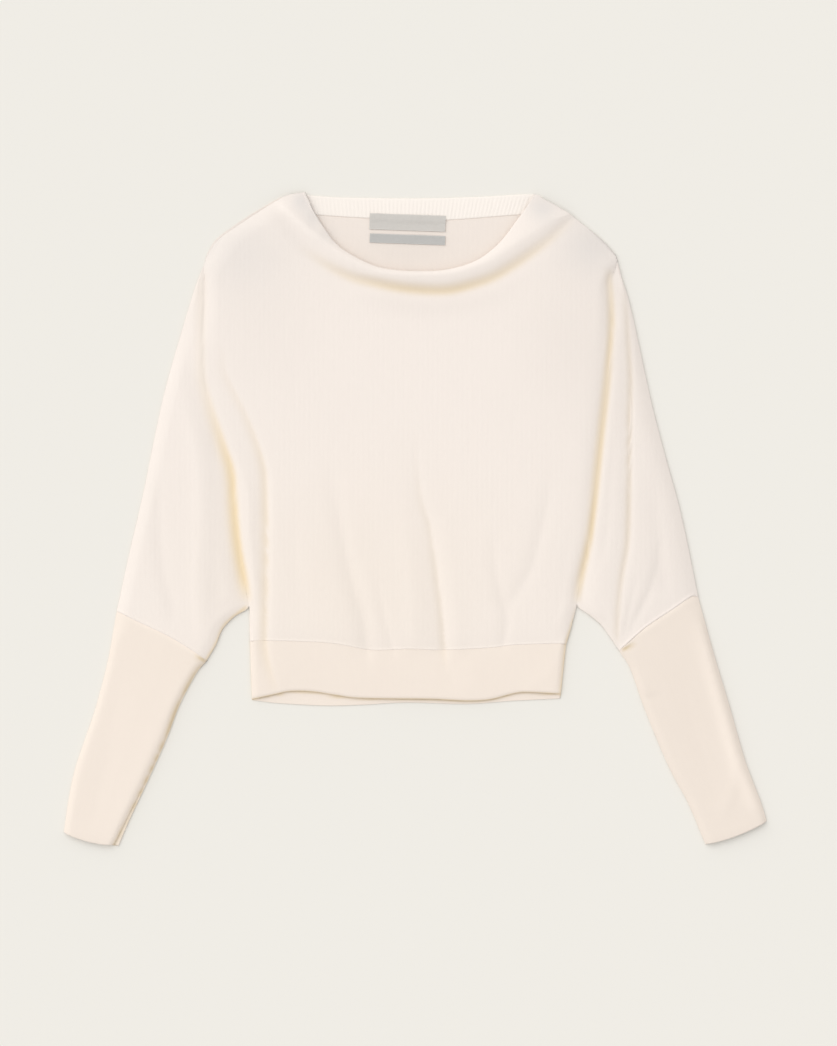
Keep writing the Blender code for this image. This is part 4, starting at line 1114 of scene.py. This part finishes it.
def back_height(points):
    """Height of the back's underside: flat, but for its turned-up edges."""
    lines = [SHOULDER_LEFT, SHOULDER_RIGHT, SLEEVE_LEFT, SLEEVE_RIGHT, UNDERARM_LEFT, UNDERARM_RIGHT,
             SIDE_LEFT, SIDE_RIGHT]
    return BACK_EDGE * (1.0 - rounded(outline_distance(points, lines), BACK_EDGE_WIDTH))


def make_back(material):
    """The back: flat underneath, its edges turned up to meet the front."""
    grids = []
    for control in back_control():
        grid = with_edge_columns(np.concatenate([control, np.zeros((*control.shape[:2], 1))], axis=2))
        grid[..., 2] = back_height(grid[..., :2])
        grids.append(grid)
    piece = add_piece("back_cloth", sheet(grids, flip=True), material, "back")
    across, down, _ = spots_of(piece.data)
    inside = down_at([knot[:2] for knot in NECK_EDGE], across) - down
    # painted warm shade on the inside of the back, strongest next to the roll
    warm_shade = INSIDE_SHADE_WARMTH * np.exp(-np.clip(inside, 0.0, None) / INSIDE_REACH)
    within = (across > NECK_EDGE[0][0]) & (across < NECK_EDGE[-1][0])
    mark(piece.data, "painted_warm_shade", np.where(within, warm_shade, 0.0))
    return piece


def turn_points(low, high, outward, radius):
    """The rounded turn from an under point to an upper one."""
    angles = np.linspace(-math.pi / 2, math.pi / 2, TUBE_TURN_STEPS + 2)[1:-1]
    middle, half = (low + high) / 2, (high - low) / 2
    return [middle + half * math.sin(angle) + outward * radius * math.cos(angle) for angle in angles]


def ring(low, high, radius):
    """One closed ring of a flattened tube: upper layer, right turn, under layer, left turn."""
    across = low[-1] - low[0]
    across[2] = 0.0
    across = across / np.linalg.norm(across)
    right = turn_points(low[-1], high[-1], across, radius)
    left = turn_points(low[0], high[0], -across, radius)
    loop = np.vstack([low, right, high[::-1], left[::-1]])
    return np.vstack([loop, loop[:1]])[::-1]


def make_hem_band(material):
    """The hem band: a flattened tube whose front edge hangs in soft waves."""
    columns = graded(*HEM_COLUMNS)
    seam_left, seam_right = HEM_SEAM[0][0], HEM_SEAM[-1][0]
    hem_left, hem_right = FRONT_HEM[0][0], FRONT_HEM[-1][0]
    top = down_at(HEM_SEAM, seam_left + columns * (seam_right - seam_left))
    hem_at = hem_left + columns * (hem_right - hem_left)
    lifts = sum(lift * np.exp(-((hem_at - centre) / width) ** 2) for centre, width, lift in HEM_LIFTS)
    rows = []
    for i, share in enumerate(HEM_PLACES):
        under_seam = SEAM_UNDER if i == 0 else 0.0
        left = seam_left + (hem_left - seam_left) * share + TUBE_TURN
        right = seam_right + (hem_right - seam_right) * share - TUBE_TURN
        flat = left + (right - left) * columns
        under = top + (down_at(BACK_HEM, hem_at) - top) * share
        upper = top + (down_at(FRONT_HEM, hem_at) - top) * share
        from_side = np.minimum(columns, 1 - columns) * (right - left)
        relief = fold_shapes(flat, upper, FOLDS + BAND_FOLDS)[0] * rounded(from_side)
        rise = rounded(from_side, TUBE_ROUND)
        height = TUBE_EDGE + (BAND - TUBE_EDGE) * rise + relief + (lifts - HEM_FALL * rise) * share ** 2
        turned, drop = HEM_TURN
        height = height - drop * smooth((share - turned) / (1.0 - turned)) - under_seam
        low = np.column_stack([flat, under, np.zeros(len(flat))])
        rows.append(ring(low, np.column_stack([flat, upper - under_seam, height]), TUBE_TURN))
    work = sheet([np.array(rows)], own_map=True)
    piece = add_piece("hem_band_cloth", work, material, "hem_band", folds=FOLDS + BAND_FOLDS)
    warm_gap(piece)
    return piece


def warm_gap(piece):
    """Warm the shade inside the hem's opening, under the front's edge."""
    across, down, height = spots_of(piece.data)
    below = down - down_at(FRONT_HEM, across)
    near = np.exp(-(np.clip(below, 0, None) / GAP_REACH) ** 2)
    edge = GAP_EDGE * smooth((below + GAP_RISE) / GAP_RISE)
    warm_shade = np.where(height < TUBE_EDGE / 2, near, edge)
    folded = fold_shapes(across, down, FOLDS)[1]
    mark(piece.data, "painted_warm_shade", np.maximum(folded, warm_shade))
    mark(piece.data, "painted_shading", GAP_DARK * warm_shade)


def make_cuff(name, seam, outer, inner, mirrored, slip, material):
    """A long cuff: a flattened tube whose upper layer may have slipped back."""
    columns = graded(*CUFF_COLUMNS)
    seam_line = along(seam, 1.0 - columns if mirrored else columns)
    bend = seam_line - (seam_line[0] + (seam_line[-1] - seam_line[0]) * columns[:, None])
    bow = 4.0 * columns * (1.0 - columns)
    seam_round = RIGHT_SLEEVE_ROUND if mirrored else EDGE_ROUND
    turned, drop = CUFF_TURN
    rows = []
    for i, share in enumerate(np.concatenate([[0.0], graded(*CUFF_PLACES)])):
        under_seam = SEAM_UNDER if i == 0 else 0.0
        start, end = along(outer, [share])[0], along(inner, [share])[0]
        if mirrored:
            start, end = end, start
        across = (end - start) / np.hypot(*(end - start))
        width = np.hypot(*(end - start)) - 2 * TUBE_TURN
        start = start + across * TUBE_TURN
        line = start + across * width * columns[:, None]
        line = line + bend * max(0.0, 1.0 - share / CUFF_SEAM_REACH) ** 2
        line[:, 1] += OPENING_BOW * share ** 4 * bow
        blend = smooth(share / SEAM_BLEND)
        outside = (1 - columns if mirrored else columns) * width
        rise = np.minimum(rounded(outside, seam_round + (TUBE_ROUND - seam_round) * blend),
                          rounded(width - outside, TUBE_ROUND))
        side = EDGE + (TUBE_EDGE - EDGE) * blend
        height = side + (CUFF - side + fold_shapes(line[:, 0], line[:, 1], CUFF_FOLDS)[0]) * rise
        height = height - drop * smooth((share - turned) / (1.0 - turned))
        low = np.column_stack([line, np.zeros(len(line))])
        high = np.column_stack([line, height])
        high[:, 1:] -= under_seam
        if slip:
            begun = min(1.0, share / SLIP_REACH)
            slide = SLIP_START * begun + slip * share ** SLIP_POWER
            high[:, :2] -= across * (slide * columns ** 2)[:, None]
            lip = np.array([*line[-1], TUBE_EDGE - LIP_DROP * begun - under_seam])
            tuck = high[-1] - np.array([0.0, 0.0, LIP_DROP * begun])
            behind = lip - np.array([*across, 1.0]) * LIP_BEHIND * begun
            high = np.vstack([high, tuck, behind, lip])
        rows.append(ring(low, high, TUBE_TURN))
    work = sheet([np.array(rows)], own_map=True)
    return add_piece(name + "_cloth", work, material, name, folds=CUFF_FOLDS)


def make_rib(material):
    """The ribbed strip round the back of the neck."""
    ribs = round(curve_length(NECK_SEAM) / RIB_PITCH)
    shares = np.linspace(0.0, 1.0, ribs * RIB_STEPS + 1)
    lower, upper = along(NECK_SEAM, shares), along(NECK_TOP, shares)
    raised = RIB_RAISE * (0.5 - 0.5 * np.cos(2 * math.pi * ribs * shares))
    rows = []
    for across, base, ribbed in RIB_PROFILE:
        points = upper + (lower - upper) * across
        rows.append(np.column_stack([points, RIB_BASE * base + raised * ribbed]))
    work = sheet([np.array(rows + rows[:1])])
    ends = [edge for edge in work.edges if edge.is_boundary]
    bmesh.ops.holes_fill(work, edges=ends, sides=0)
    bmesh.ops.recalc_face_normals(work, faces=work.faces)
    return add_piece("back_neck_rib_cloth", work, material, "back_neck_rib", wall=0)


def make_label(name, across, down, width, height, tilt, underside, underside_at_top, material):
    """A woven label with nothing on it."""
    angle = math.radians(tilt)
    side = np.array([math.cos(angle), -math.sin(angle)])
    fall = np.array([math.sin(angle), math.cos(angle)])
    parts = graded(*LABEL_COLUMNS) - 0.5
    rows, edges = [], []
    for share in graded(*LABEL_ROWS):
        above = min(1.0, max(0.0, LABEL_RISE[0] - share * LABEL_RISE[1]))
        lift = underside + (underside_at_top - underside) * above + LABEL_CLEAR + LABEL_THICK
        lift = lift + LABEL_WAVE * np.sin(LABEL_WAVES[0] * parts + LABEL_WAVES[1] * share) * (1.0 - share)
        points = np.array([across, down]) + side * width * parts[:, None] + fall * height * share
        rows.append(np.column_stack([points, lift]))
        near = np.minimum((0.5 - np.abs(parts)) * width, min(share, 1 - share) * height)
        edges.extend(near < LABEL_EDGE)
    piece = add_piece(name + "_cloth", sheet([np.array(rows)]), material, name, LABEL_THICK)
    mark(piece.data, "edge", edges)
    return piece


def make_world():
    """Soft light from all round, strongest overhead."""
    world = bpy.data.worlds.new("studio")
    bpy.context.scene.world = world
    world.use_nodes = True
    add = node_maker(world.node_tree)
    direction = add("ShaderNodeTexCoord").outputs["Generated"]
    parts = add("ShaderNodeSeparateXYZ", inputs={0: direction})
    strength = add("ShaderNodeMapRange", inputs={"Value": parts.outputs[2], "From Min": 0.0, "From Max": 1.0,
                                                 "To Min": HORIZON_LIGHT, "To Max": OVERHEAD_LIGHT})
    background = world.node_tree.nodes["Background"]
    set_inputs(background, {"Color": (1.0, 1.0, 1.0, 1.0), "Strength": strength.outputs[0]})


def make_key():
    """A weak broad light from the upper left."""
    data = bpy.data.lights.new("key", "SUN")
    data.energy = KEY_LIGHT
    data.angle = math.radians(KEY_SPREAD)
    data.color = KEY_COLOUR
    lamp = bpy.data.objects.new("key", data)
    lamp.rotation_euler = (math.radians(KEY_TILT[0]), math.radians(KEY_TILT[1]), 0.0)
    bpy.context.scene.collection.objects.link(lamp)


def make_stage():
    """Plain pale floor, soft light, and the camera straight above."""
    bpy.ops.mesh.primitive_plane_add(size=FLOOR_SIZE)
    floor = bpy.context.active_object
    floor.name = "floor"
    paper, shader, add = new_material("paper")
    grain = add("ShaderNodeTexNoise", inputs={"Scale": 60.0, "Detail": 3.0})
    tone = add("ShaderNodeMapRange", inputs={"Value": grain.outputs["Fac"], "To Min": 1.0 - FLOOR_GRAIN,
                                             "To Max": 1.0 + FLOOR_GRAIN})
    set_inputs(shader, {"Base Color": scaled(add, FLOOR, tone.outputs[0]), "Roughness": 1.0,
                        "Specular IOR Level": 0.0})
    floor.data.materials.append(paper)
    make_world()
    make_key()
    data = bpy.data.cameras.new("camera")
    data.sensor_width = SENSOR
    data.lens = SENSOR * VIEW_DISTANCE / VIEW_HEIGHT
    camera = bpy.data.objects.new("camera", data)
    x, y, _ = place(*VIEW_MIDDLE)
    camera.location = (x, y, VIEW_DISTANCE)
    bpy.context.scene.collection.objects.link(camera)
    bpy.context.scene.camera = camera
    bpy.context.scene.view_settings.view_transform = "Standard"


knits = {name: knit_material(name, *sizes) for name, sizes in KNITS.items()}

make_stage()
front = make_front(knits["knit"])
back = make_back(knits["inner_knit"])
band = make_hem_band(knits["band_knit"])
cuff_left, cuff_right = [make_cuff(*cuff, knits["band_knit"]) for cuff in CUFFS]
rib = make_rib(knits["rib_knit"])
label_main = make_label(*LABELS[0], label_material("label_main", LABEL_MAIN))
label_small = make_label(*LABELS[1], label_material("label_small", LABEL_SMALL))
